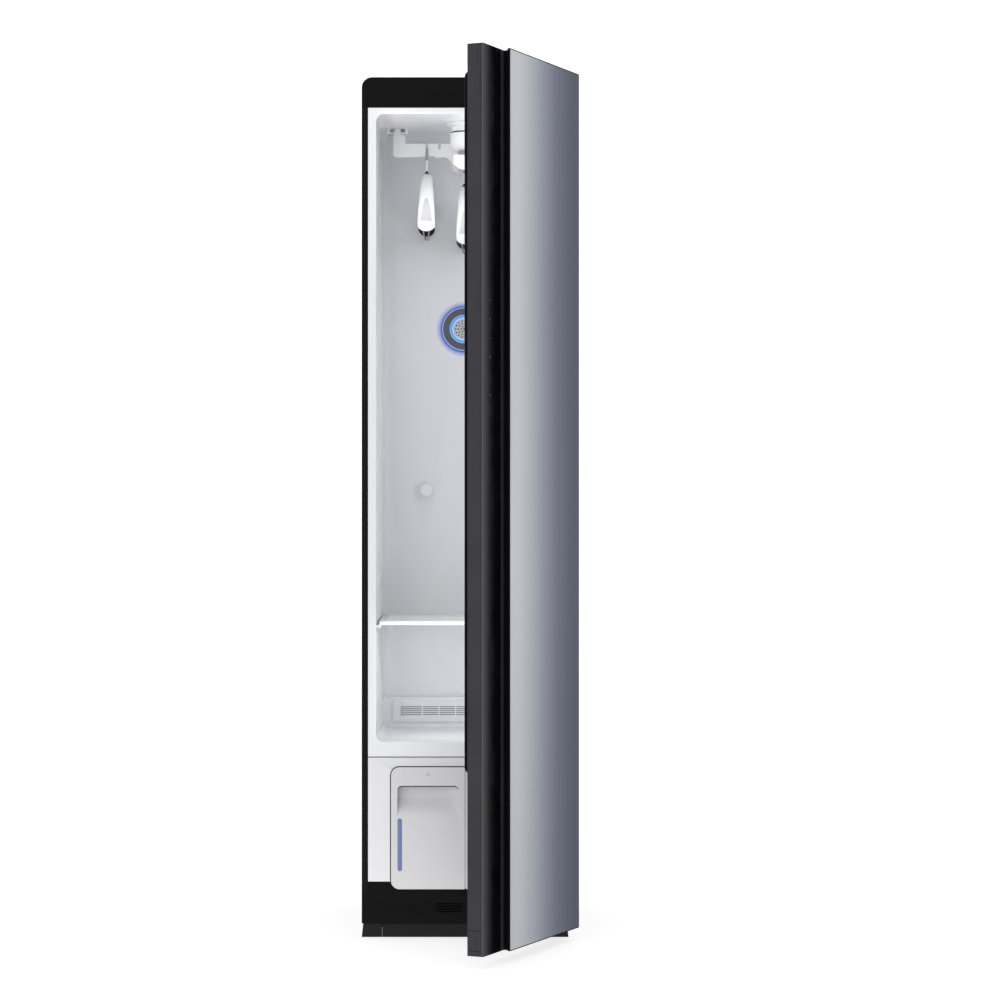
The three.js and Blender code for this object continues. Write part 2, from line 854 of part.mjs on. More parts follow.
// White moulded cavity with its front flange, shelf rails and the step that holds the filter.
function cavityLiner() {
  const outer = loft(cavityRings(linerWall, flangeThickness / 2));
  const inner = loft(cavityRings(0, -overrun));
  const flange = block(
    -trimHalf + fitGap, trimHalf - fitGap, frontY, frontY + flangeThickness,
    seamZ, headerZ - fitGap,
  );
  const shell = cut(unite(outer, flange), inner);
  const step = alongX(
    roundedOutline(
      stepFaceY, backWallY + linerWall, cavityFloorZ - linerWall / 2, stepTopZ,
      [0, 0, 0, stepRound],
    ),
    -halfWidth, halfWidth,
  );
  const railTopZ = shelfTopZ - shelfThickness - fitGap;
  const rails = [-1, 1].map((side) => {
    const reach = [side * (cavityHalf - railReach), side * halfWidth].sort((a, b) => a - b);
    return block(...reach, deep(railStart), deep(railEnd), railTopZ - railHeight, railTopZ);
  });
  const fittings = common(unite(step, ...rails), loft(cavityRings(linerWall / 2, 0)));
  const pocket = block(
    -filterHalf + filterRim - runClear, filterHalf - filterRim + runClear,
    stepFaceY - overrun, stepFaceY + filterBasketDepth + overrun,
    filterBottomZ + filterRim - runClear, filterTopZ - filterRim + runClear,
  );
  const duct = block(
    -ductHalf, ductHalf,
    stepFaceY + filterBasketDepth + overrun - ductDepth, stepFaceY + filterBasketDepth + overrun,
    cavityFloorZ - linerWall - overrun, filterBottomZ + filterRim,
  );
  const shaftHole = drumZ(
    crankShaftRadius + crankShaftClear, 0, deep(hubDepth),
    cavityTopZ - overrun, linerRoofZ + overrun, midSides,
  );
  const steamHole = drumY(
    steamDuctRadius, 0, lampZ, backWallY - overrun, backWallY + linerWall + overrun, midSides,
  );
  return cut(unite(shell, fittings), pocket, duct, shaftHole, steamHole);
}

const tankHalf = tankSplit / 2 + tankWidth;
const bayHalf = tankHalf + tankClear;
const bayFloorZ = tankBottomZ - tankClear;
const bayTopZ = tankTopZ + tankClear;

// White front under the cavity, with the bay that both tanks slide into.
function tankFascia() {
  const plate = block(
    -trimHalf + fitGap, trimHalf - fitGap, frontY, frontY + panelWall,
    grilleTopZ, seamZ - fitGap,
  );
  const outerCorner = tankCorner + tankClear;
  const bay = alongY(
    roundedOutline(
      -bayHalf - bayWall, bayHalf + bayWall, bayFloorZ - bayWall, bayTopZ + bayWall,
      outerCorner + bayWall,
    ),
    frontY + panelWall / 2, deep(bayDepth),
  );
  const hollow = alongY(
    roundedOutline(-bayHalf, bayHalf, bayFloorZ, bayTopZ, outerCorner),
    frontY - overrun, deep(bayDepth - bayWall),
  );
  const grilleRoom = block(
    -halfWidth, halfWidth, frontY - overrun, frontY + panelWall + fitGap,
    bayFloorZ - bayWall - overrun, grilleTopZ,
  );
  return cut(unite(plate, bay), hollow, grilleRoom);
}

// Black panel at the foot, stepped round the side bars, with louvres in its middle.
function lowerGrille() {
  const top = grilleTopZ - fitGap;
  const shoulder = barFootZ - fitGap;
  const panel = alongY(
    outline([
      [-halfWidth, plinthHeight],
      [halfWidth, plinthHeight],
      [halfWidth, shoulder],
      [trimHalf - fitGap, shoulder],
      [trimHalf - fitGap, top],
      [-trimHalf + fitGap, top],
      [-trimHalf + fitGap, shoulder],
      [-halfWidth, shoulder],
    ]),
    frontY, frontY + panelWall,
  );
  const tankRoom = alongY(
    roundedOutline(-bayHalf, bayHalf, bayFloorZ, bayTopZ, tankCorner + tankClear),
    frontY - overrun, frontY + panelWall + overrun,
  );
  const louvres = [];
  for (let row = 0; row < louvreRows; row += 1) {
    const z1 = louvreTopZ - row * louvrePitch;
    const z0 = z1 - louvreHeight;
    for (const side of [-1, 1]) {
      const slotXs = [side * louvreInner, side * louvreSplit].sort((a, b) => a - b);
      const grooveXs = [side * louvreSplit, side * louvreOuter].sort((a, b) => a - b);
      louvres.push(block(...slotXs, frontY - overrun, frontY + panelWall + overrun, z0, z1));
      louvres.push(block(...grooveXs, frontY - overrun, frontY + louvreGroove, z0, z1));
    }
  }
  return cut(panel, tankRoom, ...louvres);
}

// Upright skirt between the foot caps, with a flange that stands on the floor.
function plinth() {
  const side = outline([
    [frontY, 0],
    [deep(plinthFlange), 0],
    [deep(plinthFlange), panelWall],
    [frontY + panelWall, panelWall],
    [frontY + panelWall, plinthHeight - fitGap],
    [frontY, plinthHeight - fitGap],
  ]);
  return alongX(side, -footCapInner + fitGap, footCapInner - fitGap);
}

// Cap over a front foot: front, outer side and top, open below and behind.
function footCap(withArmSlot) {
  const top = plinthHeight - fitGap;
  const outer = alongY(
    outline([
      [footCapInner, 0],
      [halfWidth, 0],
      [halfWidth - footCapSlant, top],
      [footCapInner, top],
    ]),
    frontY, deep(footCapDepth),
  );
  const inner = alongY(
    outline([
      [footCapInner - overrun, -overrun],
      [halfWidth - panelWall, -overrun],
      [halfWidth - panelWall, 0],
      [halfWidth - panelWall - footCapSlant, top - panelWall],
      [footCapInner - overrun, top - panelWall],
    ]),
    frontY + panelWall, deep(footCapDepth) + overrun,
  );
  const shell = cut(outer, inner);
  if (!withArmSlot) return shell;
  return cut(shell, block(
    pivotX - hingeArmWidth / 2 - fitGap, pivotX + hingeArmWidth / 2 + fitGap,
    frontY - overrun, frontY + panelWall + overrun,
    panZ - hingeArmThickness - 2 * fitGap, panZ + fitGap,
  ));
}

// Threaded levelling foot with a wide disc; the collar carries the pan.
function levellingFoot(side) {
  const collarTop = panZ - fitGap;
  return turnedZ([
    [0, 0],
    [footDiscRadius, 0],
    [footDiscRadius, footDiscHeight / 2],
    [footStemRadius, footDiscHeight],
    [footStemRadius, collarTop - footCollarHeight],
    [footCollarRadius, collarTop - footCollarHeight],
    [footCollarRadius, collarTop],
    [footStemRadius, collarTop],
    [footStemRadius, panZ + 2 * panThickness],
    [0, panZ + 2 * panThickness],
  ], side * footX, deep(footDepth), smallSides);
}

// Ceiling bracket on the right, open below, with two windows that show its rod.
function guideBracket() {
  const centreY = deep(barDepth);
  const shell = alongZ(
    roundedOutline(
      bracketInner, bracketOuter, centreY - bracketHalfDepth, centreY + bracketHalfDepth,
      bracketWall,
    ),
    bracketBottomZ, ceilingZ,
  );
  const hollow = block(
    bracketInner + bracketWall, bracketOuter - bracketWall,
    centreY - bracketHalfDepth + bracketWall, centreY + bracketHalfDepth - bracketWall,
    bracketBottomZ - overrun, ceilingZ - bracketRoof,
  );
  const span = bracketOuter - bracketInner;
  const windows = bracketWindowShares.map(([from, to]) => block(
    bracketInner + span * from, bracketInner + span * to,
    centreY - bracketHalfDepth - overrun, centreY - bracketHalfDepth + bracketWall + overrun,
    bracketBottomZ + bracketWall, ceilingZ - bracketRoof,
  ));
  return cut(shell, hollow, ...windows);
}

function guideRod() {
  return drumX(
    rodRadius, deep(barDepth), rodZ,
    bracketInner + bracketWall + fitGap, bracketOuter - bracketWall - fitGap, smallSides,
  );
}

// Fixed ceiling flange and neck that the crank turns in.
function hubFlange() {
  const bore = crankShaftRadius + crankShaftClear;
  const edgeZ = ceilingZ - hubFlangeEdge;
  return turnedZ([
    [bore, hubNeckBottomZ],
    [hubNeckRadius, hubNeckBottomZ],
    [hubNeckRadius, edgeZ - hubConeHeight],
    [hubFlangeRadius, edgeZ],
    [hubFlangeRadius, ceilingZ],
    [bore, ceilingZ],
  ], 0, deep(hubDepth), fineSides);
}

// Turning bowl with its shaft above and an offset pin below.
function crankHub() {
  const profile = [[0, bowlBottomZ]];
  for (let step = 0; step <= curveSteps; step += 1) {
    const angle = (step / curveSteps) * (Math.PI / 2);
    profile.push([
      bowlRadius - bowlRound + bowlRound * Math.sin(angle),
      bowlBottomZ + bowlRound * (1 - Math.cos(angle)),
    ]);
  }
  profile.push(
    [bowlRadius, bowlTopZ],
    [crankShaftRadius, bowlTopZ],
    [crankShaftRadius, linerRoofZ + crankShaftRise],
    [0, linerRoofZ + crankShaftRise],
  );
  const bowl = turnedZ(profile, 0, deep(hubDepth), fineSides);
  const pin = drumZ(
    crankPinRadius, 0, deep(hubDepth - crankPinOffset), crankPinBottomZ,
    bowlBottomZ + bowlRound / 2, midSides,
  );
  return unite(bowl, pin);
}

// Geared motor on top of the liner, with a socket for the crank's shaft.
function driveMotor() {
  const y = deep(hubDepth);
  const base = alongZ(
    roundedOutline(
      -motorWidth / 2, motorWidth / 2, y - motorDepth / 2, y + motorDepth / 2, capWall,
    ),
    linerRoofZ, linerRoofZ + motorBase,
  );
  const can = drumZ(
    motorCanRadius, 0, y, linerRoofZ + motorBase / 2, linerRoofZ + motorBase + motorCanHeight,
    midSides,
  );
  const socket = drumZ(
    crankShaftRadius + runClear, 0, y, linerRoofZ - overrun,
    linerRoofZ + crankShaftRise + runClear, midSides,
  );
  return cut(unite(base, can), socket);
}

// Notched bar with two arms that run on the rods, and the fork that the crank pin drives.
function hangerBar() {
  const y0 = deep(barDepth) - barThickness / 2;
  const y1 = deep(barDepth) + barThickness / 2;
  const armTopZ = bracketBottomZ - fitGap;
  const shape = new THREE.Shape();
  shape.moveTo(-barArmOuter, armTopZ);
  shape.lineTo(-barArmOuter, barBottomZ + barArmCorner);
  shape.absarc(-barArmOuter + barArmCorner, barBottomZ + barArmCorner, barArmCorner,
    Math.PI, Math.PI * 1.5);
  shape.lineTo(-barCurveOuter, barBottomZ);
  const middle = (barCurveOuter + barCurveInner) / 2;
  shape.bezierCurveTo(
    -middle, barBottomZ, -middle, barCentreBottomZ, -barCurveInner, barCentreBottomZ,
  );
  shape.lineTo(barCurveInner, barCentreBottomZ);
  shape.bezierCurveTo(
    middle, barCentreBottomZ, middle, barBottomZ, barCurveOuter, barBottomZ,
  );
  shape.lineTo(barArmOuter - barArmCorner, barBottomZ);
  shape.absarc(barArmOuter - barArmCorner, barBottomZ + barArmCorner, barArmCorner,
    -Math.PI / 2, 0);
  shape.lineTo(barArmOuter, armTopZ);
  shape.lineTo(barArmInner, armTopZ);
  shape.lineTo(barArmInner, barTopZ);
  shape.lineTo(-barArmInner, barTopZ);
  shape.lineTo(-barArmInner, armTopZ);
  const bar = alongY(shape, y0, y1);
  const bossX = (bracketInner + bracketOuter) / 2;
  const bosses = [-1, 1].map((side) => block(
    side * bossX - bossWidth / 2, side * bossX + bossWidth / 2,
    deep(barDepth) - bossHalfDepth, deep(barDepth) + bossHalfDepth,
    barTopZ, ceilingZ - bracketRoof - fitGap,
  ));
  const slotHalf = crankPinRadius + forkClear;
  const forkHalf = slotHalf + forkRail;
  const slotFrontY = deep(hubDepth - crankPinOffset) - crankPinRadius - forkFrontClear;
  const [forkLowZ, forkTopZ] = [barCentreBottomZ - forkBelly, barCentreBottomZ + forkHeight];
  const forkFace = new THREE.Shape();
  forkFace.moveTo(-forkHalf, forkTopZ);
  forkFace.lineTo(-forkHalf, barCentreBottomZ);
  forkFace.quadraticCurveTo(0, forkLowZ - forkBelly, forkHalf, barCentreBottomZ);
  forkFace.lineTo(forkHalf, forkTopZ);
  const forkFrontY = slotFrontY - forkFrontWall;
  const fork = common(
    alongY(forkFace, forkFrontY, y0 + overrun),
    alongZ(
      roundedOutline(-forkHalf, forkHalf, forkFrontY, y0 + overrun, [forkRail, forkRail, 0, 0]),
      forkLowZ - overrun, forkTopZ + overrun,
    ),
  );
  const slot = alongZ(
    roundedOutline(-slotHalf, slotHalf, slotFrontY, y0, [forkRail / 2, forkRail / 2, 0, 0]),
    forkLowZ - overrun, forkTopZ + overrun,
  );
  const hookRoom = block(
    -slotHalf, slotHalf, y0 - overrun, y0 + 2 * overrun, forkLowZ - overrun, barCentreBottomZ,
  );
  const notches = [];
  for (let i = 1; i <= notchesPerSide; i += 1) {
    for (const x of [-i * notchPitch, i * notchPitch]) {
      const notch = roundedOutline(
        x - notchWidth / 2, x + notchWidth / 2, barTopZ - notchDepth, barTopZ + overrun,
        [notchWidth / 4, notchWidth / 4, 0, 0],
      );
      notches.push(alongY(notch, y0 - overrun, y1 + overrun));
    }
  }
  const eye = alongY(
    roundedOutline(-eyeHalf, eyeHalf, eyeBottomZ, eyeTopZ, [0, 0, eyeHalf, eyeHalf]),
    y0 - overrun, y1 + overrun,
  );
  const bores = [-1, 1].map((side) => drumX(
    rodRadius + runClear, deep(barDepth), rodZ,
    side * bossX - bossWidth, side * bossX + bossWidth, smallSides,
  ));
  return cut(unite(bar, ...bosses, cut(fork, hookRoom)), slot, ...notches, eye, ...bores);
}

// A hanger is drawn level below its seat height, in the upright plane from front to back.
const hookTopGap = Math.sqrt((hookRadius - hookWire / 2) ** 2 - (barThickness / 2) ** 2);
const hookCentreZ = (seatZ) => seatZ + fitGap - hookTopGap;
const hangerNeckZ = (seatZ) => hookCentreZ(seatZ) - hookRadius - hangerNeckGap;

// Open hook: a stem out of the body that bends round the bar.
function hangerHook(x, seatZ) {
  const y = deep(barDepth);
  const centreZ = hookCentreZ(seatZ);
  const neckZ = hangerNeckZ(seatZ);
  const points = [
    new THREE.Vector3(x, y, neckZ - hookSeat),
    new THREE.Vector3(x, y, neckZ),
    new THREE.Vector3(x, y, neckZ + hookStem / 2),
    new THREE.Vector3(x, y, neckZ + hookStem),
  ];
  for (let step = 0; step <= hookBendCount; step += 1) {
    const angle = rad(hookStartAngle + (hookEndAngle - hookStartAngle) * (step / hookBendCount));
    points.push(new THREE.Vector3(
      x, y + hookRadius * Math.cos(angle), centreZ + hookRadius * Math.sin(angle),
    ));
  }
  const curve = new THREE.CatmullRomCurve3(points, false, 'centripetal');
  const wire = sweep(curve, hookWire / 2, hookSides, hookSteps);
  const collar = drumZ(hookWire, x, y, neckZ, neckZ + hookWire, smallSides);
  return unite(wire, collar);
}

// Shoulder form, narrow and high at the neck, wide and deep at its drooping tips.
function hangerForm(x, neckZ) {
  const rings = [];
  for (let i = 0; i < hangerStations; i += 1) {
    const t = (i / (hangerStations - 1)) * 2 - 1;
    const droop = Math.abs(t) ** hangerDroopPowerShare;
    const top = neckZ - hangerDrop * droop;
    const tall = THREE.MathUtils.lerp(hangerNeckHeight, hangerTipHeight, Math.abs(t));
    const widened = Math.abs(t) ** hangerWidenPowerShare;
    const wide = THREE.MathUtils.lerp(hangerNeckWidth, hangerTipWidth, widened);
    const endInset = Math.abs(t) === 1 ? hangerCapInset : 0;
    rings.push(uprightRing(
      x - wide / 2 + endInset, x + wide / 2 - endInset,
      top - tall, top - endInset,
      wide / 4, deep(barDepth) + t * hangerHalf,
    ));
  }
  return loft(rings);
}

const hangerTopZ = (seatZ) => hangerNeckZ(seatZ) - fitGap;
const hangerTipZ = (seatZ) => hangerTopZ(seatZ) - hangerDrop - hangerTipHeight;

function hangerBody(x, seatZ) {
  const top = hangerTopZ(seatZ);
  const hookBore = drumZ(
    hookWire / 2 + runClear, x, deep(barDepth), top - hookSeat, top + overrun, hookSides,
  );
  return cut(hangerForm(x, top), hookBore);
}

// Rubber shoe that cups the underside of one tip, slotted below for the trouser bar.
function hangerCap(x, seatZ, end) {
  const top = hangerTipZ(seatZ) - fitGap;
  const outerY = deep(barDepth) + end * (hangerHalf - hangerCapInset);
  const innerY = outerY - end * hangerCapLength;
  const [y0, y1] = [outerY, innerY].sort((a, b) => a - b);
  const shoe = alongY(
    roundedOutline(
      x - hangerCapWidth / 2, x + hangerCapWidth / 2,
      top - hangerCapHeight, top + hangerTipHeight * hangerCapRiseShare,
      [hangerCapRound, hangerCapRound, 0, 0],
    ),
    y0, y1,
  );
  const slot = block(
    x - trouserWidth / 2 - fitGap, x + trouserWidth / 2 + fitGap,
    y0 - overrun, y1 + overrun,
    top - hangerCapHeight - overrun, top - hangerCapWeb,
  );
  return cut(shoe, slot, hangerForm(x, hangerTopZ(seatZ) - fitGap));
}

// Folded steel bar of V section that both shoes hold.
function trouserBar(x, seatZ) {
  const top = hangerTipZ(seatZ) - hangerCapWeb - 2 * fitGap;
  const half = trouserWidth / 2;
  const end = hangerHalf - trouserEnd;
  return alongY(
    outline([
      [x - half, top],
      [x - trouserWall / 2, top - trouserHeight],
      [x + trouserWall / 2, top - trouserHeight],
      [x + half, top],
      [x + half - trouserWall, top],
      [x, top - trouserHeight + 2 * trouserWall],
      [x - half + trouserWall, top],
    ]),
    deep(barDepth) - end, deep(barDepth) + end,
  );
}

// Pieces of the round lamp stand on the back wall and face the front.
const lampY = backWallY - fitGap;

function ringBezel() {
  return turnedY([
    [bezelInner, lampY],
    [bezelRadius, lampY],
    [bezelRadius, lampY - bezelRim],
    [bezelRadius - bezelRim, lampY - bezelHeight],
    [bezelInner, lampY - lightHeight],
  ], 0, lampZ, fineSides);
}

function ringLight() {
  const outer = bezelInner - fitGap;
  const middle = (outer + lightInner) / 2;
  return turnedY([
    [lightInner, lampY],
    [outer, lampY],
    [outer, lampY - steamPlateHeight],
    [middle, lampY - lightHeight],
    [lightInner, lampY - steamPlateHeight],
  ], 0, lampZ, fineSides);
}

function steamPlate() {
  const radius = lightInner - fitGap;
  const face = lampY - steamPlateHeight;
  const cup = turnedY([
    [0, face],
    [radius, face],
    [radius, lampY],
    [radius - steamPlateThickness, lampY],
    [radius - steamPlateThickness, face + steamPlateThickness],
    [0, face + steamPlateThickness],
  ], 0, lampZ, fineSides);
  const holes = steamHoleCounts.flatMap((count, step) =>
    Array.from({ length: count }, (_, i) => {
      const ring = step * steamHolePitch;
      const angle = (i / count) * Math.PI * 2;
      return drumY(
        steamHoleRadius, ring * Math.cos(angle), lampZ + ring * Math.sin(angle),
        face - overrun, face + steamPlateThickness + overrun, holeSides,
      );
    }));
  return cut(cup, ...holes);
}

function peg(side) {
  const tip = lampY - pegLength;
  return turnedY([
    [0, tip],
    [pegRadius - pegRound, tip],
    [pegRadius, tip + pegRound],
    [pegRadius, tip + pegHead - pegRound],
    [pegNeckRadius, tip + pegHead],
    [pegNeckRadius, lampY],
    [0, lampY],
  ], side * pegX, pegZ, midSides);
}

// Translucent tray with a rim below and shallow grooves across its top.
function shelf() {
  const bottom = shelfTopZ - shelfThickness;
  const corners = [shelfFrontCorner, shelfFrontCorner, shelfBackCorner, shelfBackCorner];
  const plate = alongZ(
    roundedOutline(-shelfHalf, shelfHalf, deep(shelfFront), deep(shelfBack), corners),
    bottom, shelfTopZ,
  );
  const margin = shelfGrooveMargin;
  const hollow = alongZ(
    roundedOutline(
      -shelfHalf + margin, shelfHalf - margin,
      deep(shelfFront) + margin / 2, deep(shelfBack) - margin,
      shelfFrontCorner,
    ),
    bottom - overrun, shelfTopZ - shelfPlate,
  );
  const grooveRoom = shelfBack - shelfFront - 2 * margin - shelfGrooveWidth;
  const grooveCount = Math.floor(grooveRoom / shelfGroovePitch) + 1;
  const grooves = Array.from({ length: grooveCount }, (_, i) => {
    const y = deep(shelfFront) + margin + i * shelfGroovePitch;
    return block(
      -shelfHalf + margin, shelfHalf - margin, y, y + shelfGrooveWidth,
      shelfTopZ - shelfGrooveDepth, shelfTopZ + overrun,
    );
  });
  return cut(plate, hollow, ...grooves);
}

// Slotted front with a shallow basket behind it that sits in the step.
function lintFilter() {
  const faceY = stepFaceY - filterSink - filterPlate;
  const plateY = stepFaceY - filterSink;
  const plate = alongY(
    roundedOutline(-filterHalf, filterHalf, filterBottomZ, filterTopZ, filterCorner),
    faceY, plateY,
  );
  const half = filterHalf - filterRim;
  const [z0, z1] = [filterBottomZ + filterRim, filterTopZ - filterRim];
  const backY = stepFaceY + filterBasketDepth;
  const basket = block(-half, half, plateY - filterPlate / 2, backY, z0, z1);
  const hollow = block(
    -half + filterWall, half - filterWall, plateY - filterPlate / 2, backY + overrun,
    z0 + filterWall, z1 - filterWall,
  );
  const dividerXs = filterDividerShares.map((share) => share * filterSlotHalf);
  const slots = [];
  for (let row = 0; row < filterRows; row += 1) {
    const top = filterSlotTopZ - row * filterPitch;
    for (let i = 0; i + 1 < dividerXs.length; i += 1) {
      slots.push(block(
        dividerXs[i] + filterDivider / 2, dividerXs[i + 1] - filterDivider / 2,
        faceY - overrun, plateY, top - filterSlotHeight, top,
      ));
    }
  }
  return cut(unite(plate, basket), hollow, ...slots);
}

// The right tank; the left one mirrors all but its level window, which stays on the left.
const tankInnerX = tankSplit / 2;
const tankOuterX = tankInnerX + tankWidth;
const tankFaceY = frontY - tankProud;
const tankBackY = tankFaceY + tankFrontThickness;

function tankWindowOutline(side, grow) {
  const left = side < 0 ? -tankOuterX : tankInnerX;
  const x = left + windowSide;
  const r = windowWidth / 2 + grow;
  return roundedOutline(
    x - grow, x + windowWidth + grow, windowBottomZ - grow, windowTopZ + grow, r,
  );
}

// Moulded tank front with a finger scoop that is deepest under its upper lip.
function tankFront(side) {
  const plain = alongY(
    roundedOutline(
      tankInnerX, tankOuterX, tankBottomZ, tankTopZ,
      [tankInnerCorner, tankCorner, tankCorner, tankInnerCorner],
    ),
    tankFaceY, tankBackY,
  );
  const deepest = tankFaceY + scoopDepth;
  const ramp = new THREE.Shape();
  ramp.moveTo(tankFaceY - overrun, scoopBottomZ);
  ramp.lineTo(tankFaceY, scoopBottomZ);
  ramp.bezierCurveTo(
    tankFaceY + scoopDepth / 4, scoopBottomZ + scoopDepth,
    deepest, scoopTopZ - scoopLip * 1.5,
    deepest, scoopTopZ - scoopLip,
  );
  ramp.lineTo(deepest, scoopTopZ);
  ramp.lineTo(tankFaceY - overrun, scoopTopZ);
  const middle = (tankInnerX + tankOuterX) / 2;
  const scoop = common(
    alongX(ramp, middle - scoopWidth / 2, middle + scoopWidth / 2),
    alongY(
      roundedOutline(
        middle - scoopWidth / 2, middle + scoopWidth / 2, scoopBottomZ - overrun, scoopTopZ,
        [0, 0, scoopCorner, scoopCorner],
      ),
      tankFaceY - 2 * overrun, tankBackY,
    ),
  );
  const body = cut(plain, scoop);
  const sided = side < 0 ? mirrored(body) : body;
  const recess = alongY(
    tankWindowOutline(side, fitGap), tankFaceY - overrun, tankFaceY + windowRecess,
  );
  return cut(sided, recess);
}

function tankWindow(side) {
  return alongY(
    tankWindowOutline(side, 0), tankFaceY + windowSink, tankFaceY + windowRecess - fitGap,
  );
}

// Water vessel behind the front, with its spout to the back.
function tankVessel() {
  const body = alongY(
    roundedOutline(
      tankInnerX + vesselInset, tankOuterX - vesselInset, tankBottomZ, tankTopZ - vesselInset,
      [tankInnerCorner, tankCorner, tankCorner, tankInnerCorner],
    ),
    tankBackY + fitGap, deep(tankDepth),
  );
  const spout = drumY(
    spoutRadius, (tankInnerX + tankOuterX) / 2, tankBottomZ + 2 * spoutRadius,
    deep(tankDepth) - overrun, deep(tankDepth) + spoutLength, smallSides,
  );
  return unite(body, spout);
}

// Room in the door's corner for the fixed hinge arm at every opening angle.
function hingeArmRoom(z0, z1) {
  const reach = hingeArmWidth / 2 + hingePinClear + fitGap;
  return unite(
    drumZ(reach, pivotX, pivotY, z0, z1, midSides),
    block(
      pivotX - reach, halfWidth + overrun, slabFrontY - overrun, doorFaceY + overrun, z0, z1,
    ),
  );
}

// Solid corner that the frame and not the inner panel fills, where the hinge pin turns.
function hingeCorner(z0, z1, grow) {
  return block(
    halfWidth - hingeCornerBlock - grow, halfWidth + grow,
    innerPanelY - overrun, doorFaceY + grow, z0 - grow, z1 + grow,
  );
}

const upperRoomZ = [upperArmZ - 2 * fitGap, upperArmZ + hingeArmThickness + 2 * fitGap];

// Full-depth wall along the door's free edge, between its two end caps.
function doorEdge(grow) {
  return block(
    -halfWidth - grow, -halfWidth + doorSkin + grow, innerPanelY - overrun, doorFaceY + grow,
    doorBottomZ + lowerEndCap - grow, slabTopZ - upperEndCap + grow,
  );
}

// Outer half of the door slab, ribbed behind, with the strip's seat and both hinge corners.
function doorFrame() {
  const seamY = innerPanelY - fitGap;
  const shell = block(-halfWidth, halfWidth, slabFrontY, seamY, doorBottomZ, slabTopZ);
  const stripSeat = block(
    -halfWidth - overrun, -halfWidth + stripWidth + fitGap,
    slabFrontY - overrun, slabFrontY + stripThickness,
    doorBottomZ - overrun, slabTopZ + overrun,
  );
  const pitch = (slabTopZ - doorBottomZ) / doorRibs;
  const pockets = Array.from({ length: doorRibs }, (_, i) => block(
    -halfWidth + doorSkin + ribWidth, halfWidth - hingeCornerBlock - ribWidth,
    slabFrontY + stripThickness + doorSkin, seamY + overrun,
    doorBottomZ + i * pitch + ribWidth, doorBottomZ + (i + 1) * pitch - ribWidth,
  ));
  const upper = common(
    hingeCorner(upperBlockBottomZ, slabTopZ, 0),
    block(-width, width, innerPanelY - overrun, doorFaceY, doorBottomZ, slabTopZ),
  );
  const lower = common(
    hingeCorner(doorBottomZ, lowerBlockTopZ, 0),
    block(-width, width, innerPanelY - overrun, doorFaceY, doorBottomZ, slabTopZ),
  );
  const upperBore = drumZ(
    hingePinRadius + hingePinClear, pivotX, pivotY, upperRoomZ[0],
    upperArmZ + hingeArmThickness + hingePinLength + fitGap, smallSides,
  );
  const lowerBore = drumZ(
    hingePinRadius + hingePinClear, pivotX, pivotY, doorBottomZ - overrun,
    doorBottomZ + hingePinLength, smallSides,
  );
  return cut(
    unite(cut(shell, stripSeat, ...pockets), doorEdge(0), upper, lower),
    hingeArmRoom(...upperRoomZ), upperBore, lowerBore,
  );
}

// Inner half of the door slab, a tray that closes the frame from the cabinet's side.
function doorInnerPanel() {
  const outer = block(-halfWidth, halfWidth, innerPanelY, doorFaceY, doorBottomZ, slabTopZ);
  const hollow = block(
    -halfWidth + doorSkin, halfWidth - doorSkin, innerPanelY - overrun, doorFaceY - doorSkin,
    doorBottomZ + doorSkin, slabTopZ - doorSkin,
  );
  return cut(
    outer, hollow, doorEdge(fitGap),
    hingeCorner(upperBlockBottomZ, slabTopZ + overrun, fitGap),
    hingeCorner(doorBottomZ - overrun, lowerBlockTopZ, fitGap),
  );
}

function doorGasket() {
  const face = frontY - fitGap;
  const seat = doorFaceY + fitGap;
  const band = (grow) => roundedOutline(
    -gasketOuterX + grow, gasketOuterX - grow, gasketBottomZ + grow, gasketTopZ - grow,
    gasketCorner - grow / 2,
  );
  return cut(
    alongY(band(0), seat, face),
    alongY(band(gasketWidth), seat - overrun, face + overrun),
  );
}

const mirrorLeft = -halfWidth + mirrorStart;

function mirrorPanel() {
  return alongY(
    roundedOutline(mirrorLeft, halfWidth, doorBottomZ, height, doorEdgeRound),
    mirrorFaceY, mirrorFaceY + mirrorGlass - fitGap,
  );
}

// Black carrier behind the glass, set back on the left to leave the finger grip.
function mirrorCarrier() {
  const inset = doorEdgeRound;
  const [x0, x1] = [mirrorLeft + gripInset, halfWidth - inset];
  const [z0, z1] = [doorBottomZ, slabTopZ];
  const shell = block(x0, x1, mirrorFaceY + mirrorGlass, slabFrontY - fitGap, z0, z1);
  const hollow = block(
    x0 + doorSkin, x1 - doorSkin, mirrorFaceY + mirrorGlass + doorSkin, slabFrontY,
    z0 + doorSkin, z1 - doorSkin,
  );
  return cut(shell, hollow);
}

function displayStrip() {
  return block(
    -halfWidth, -halfWidth + stripWidth, slabFrontY, slabFrontY + stripThickness - fitGap,
    doorBottomZ, slabTopZ,
  );
}

// Steel arm out of the cap with an upright pin, on a plate that is screwed to the cap.
function upperHinge() {
  const [z0, z1] = [upperArmZ, upperArmZ + hingeArmThickness];
  const arm = unite(
    block(pivotX - hingeArmWidth / 2, pivotX + hingeArmWidth / 2, pivotY,
      deep(hingeBlockDepth), z0, z1),
    drumZ(hingeArmWidth / 2, pivotX, pivotY, z0, z1, midSides),
  );
  const plate = block(
    halfWidth - hingeBlockWidth, halfWidth - capWall - fitGap,
    deep(capWall) + fitGap, deep(hingeBlockDepth), z0, z1,
  );
  const pin = drumZ(hingePinRadius, pivotX, pivotY, z0, z1 + hingePinLength, smallSides);
  return unite(arm, plate, pin);
}

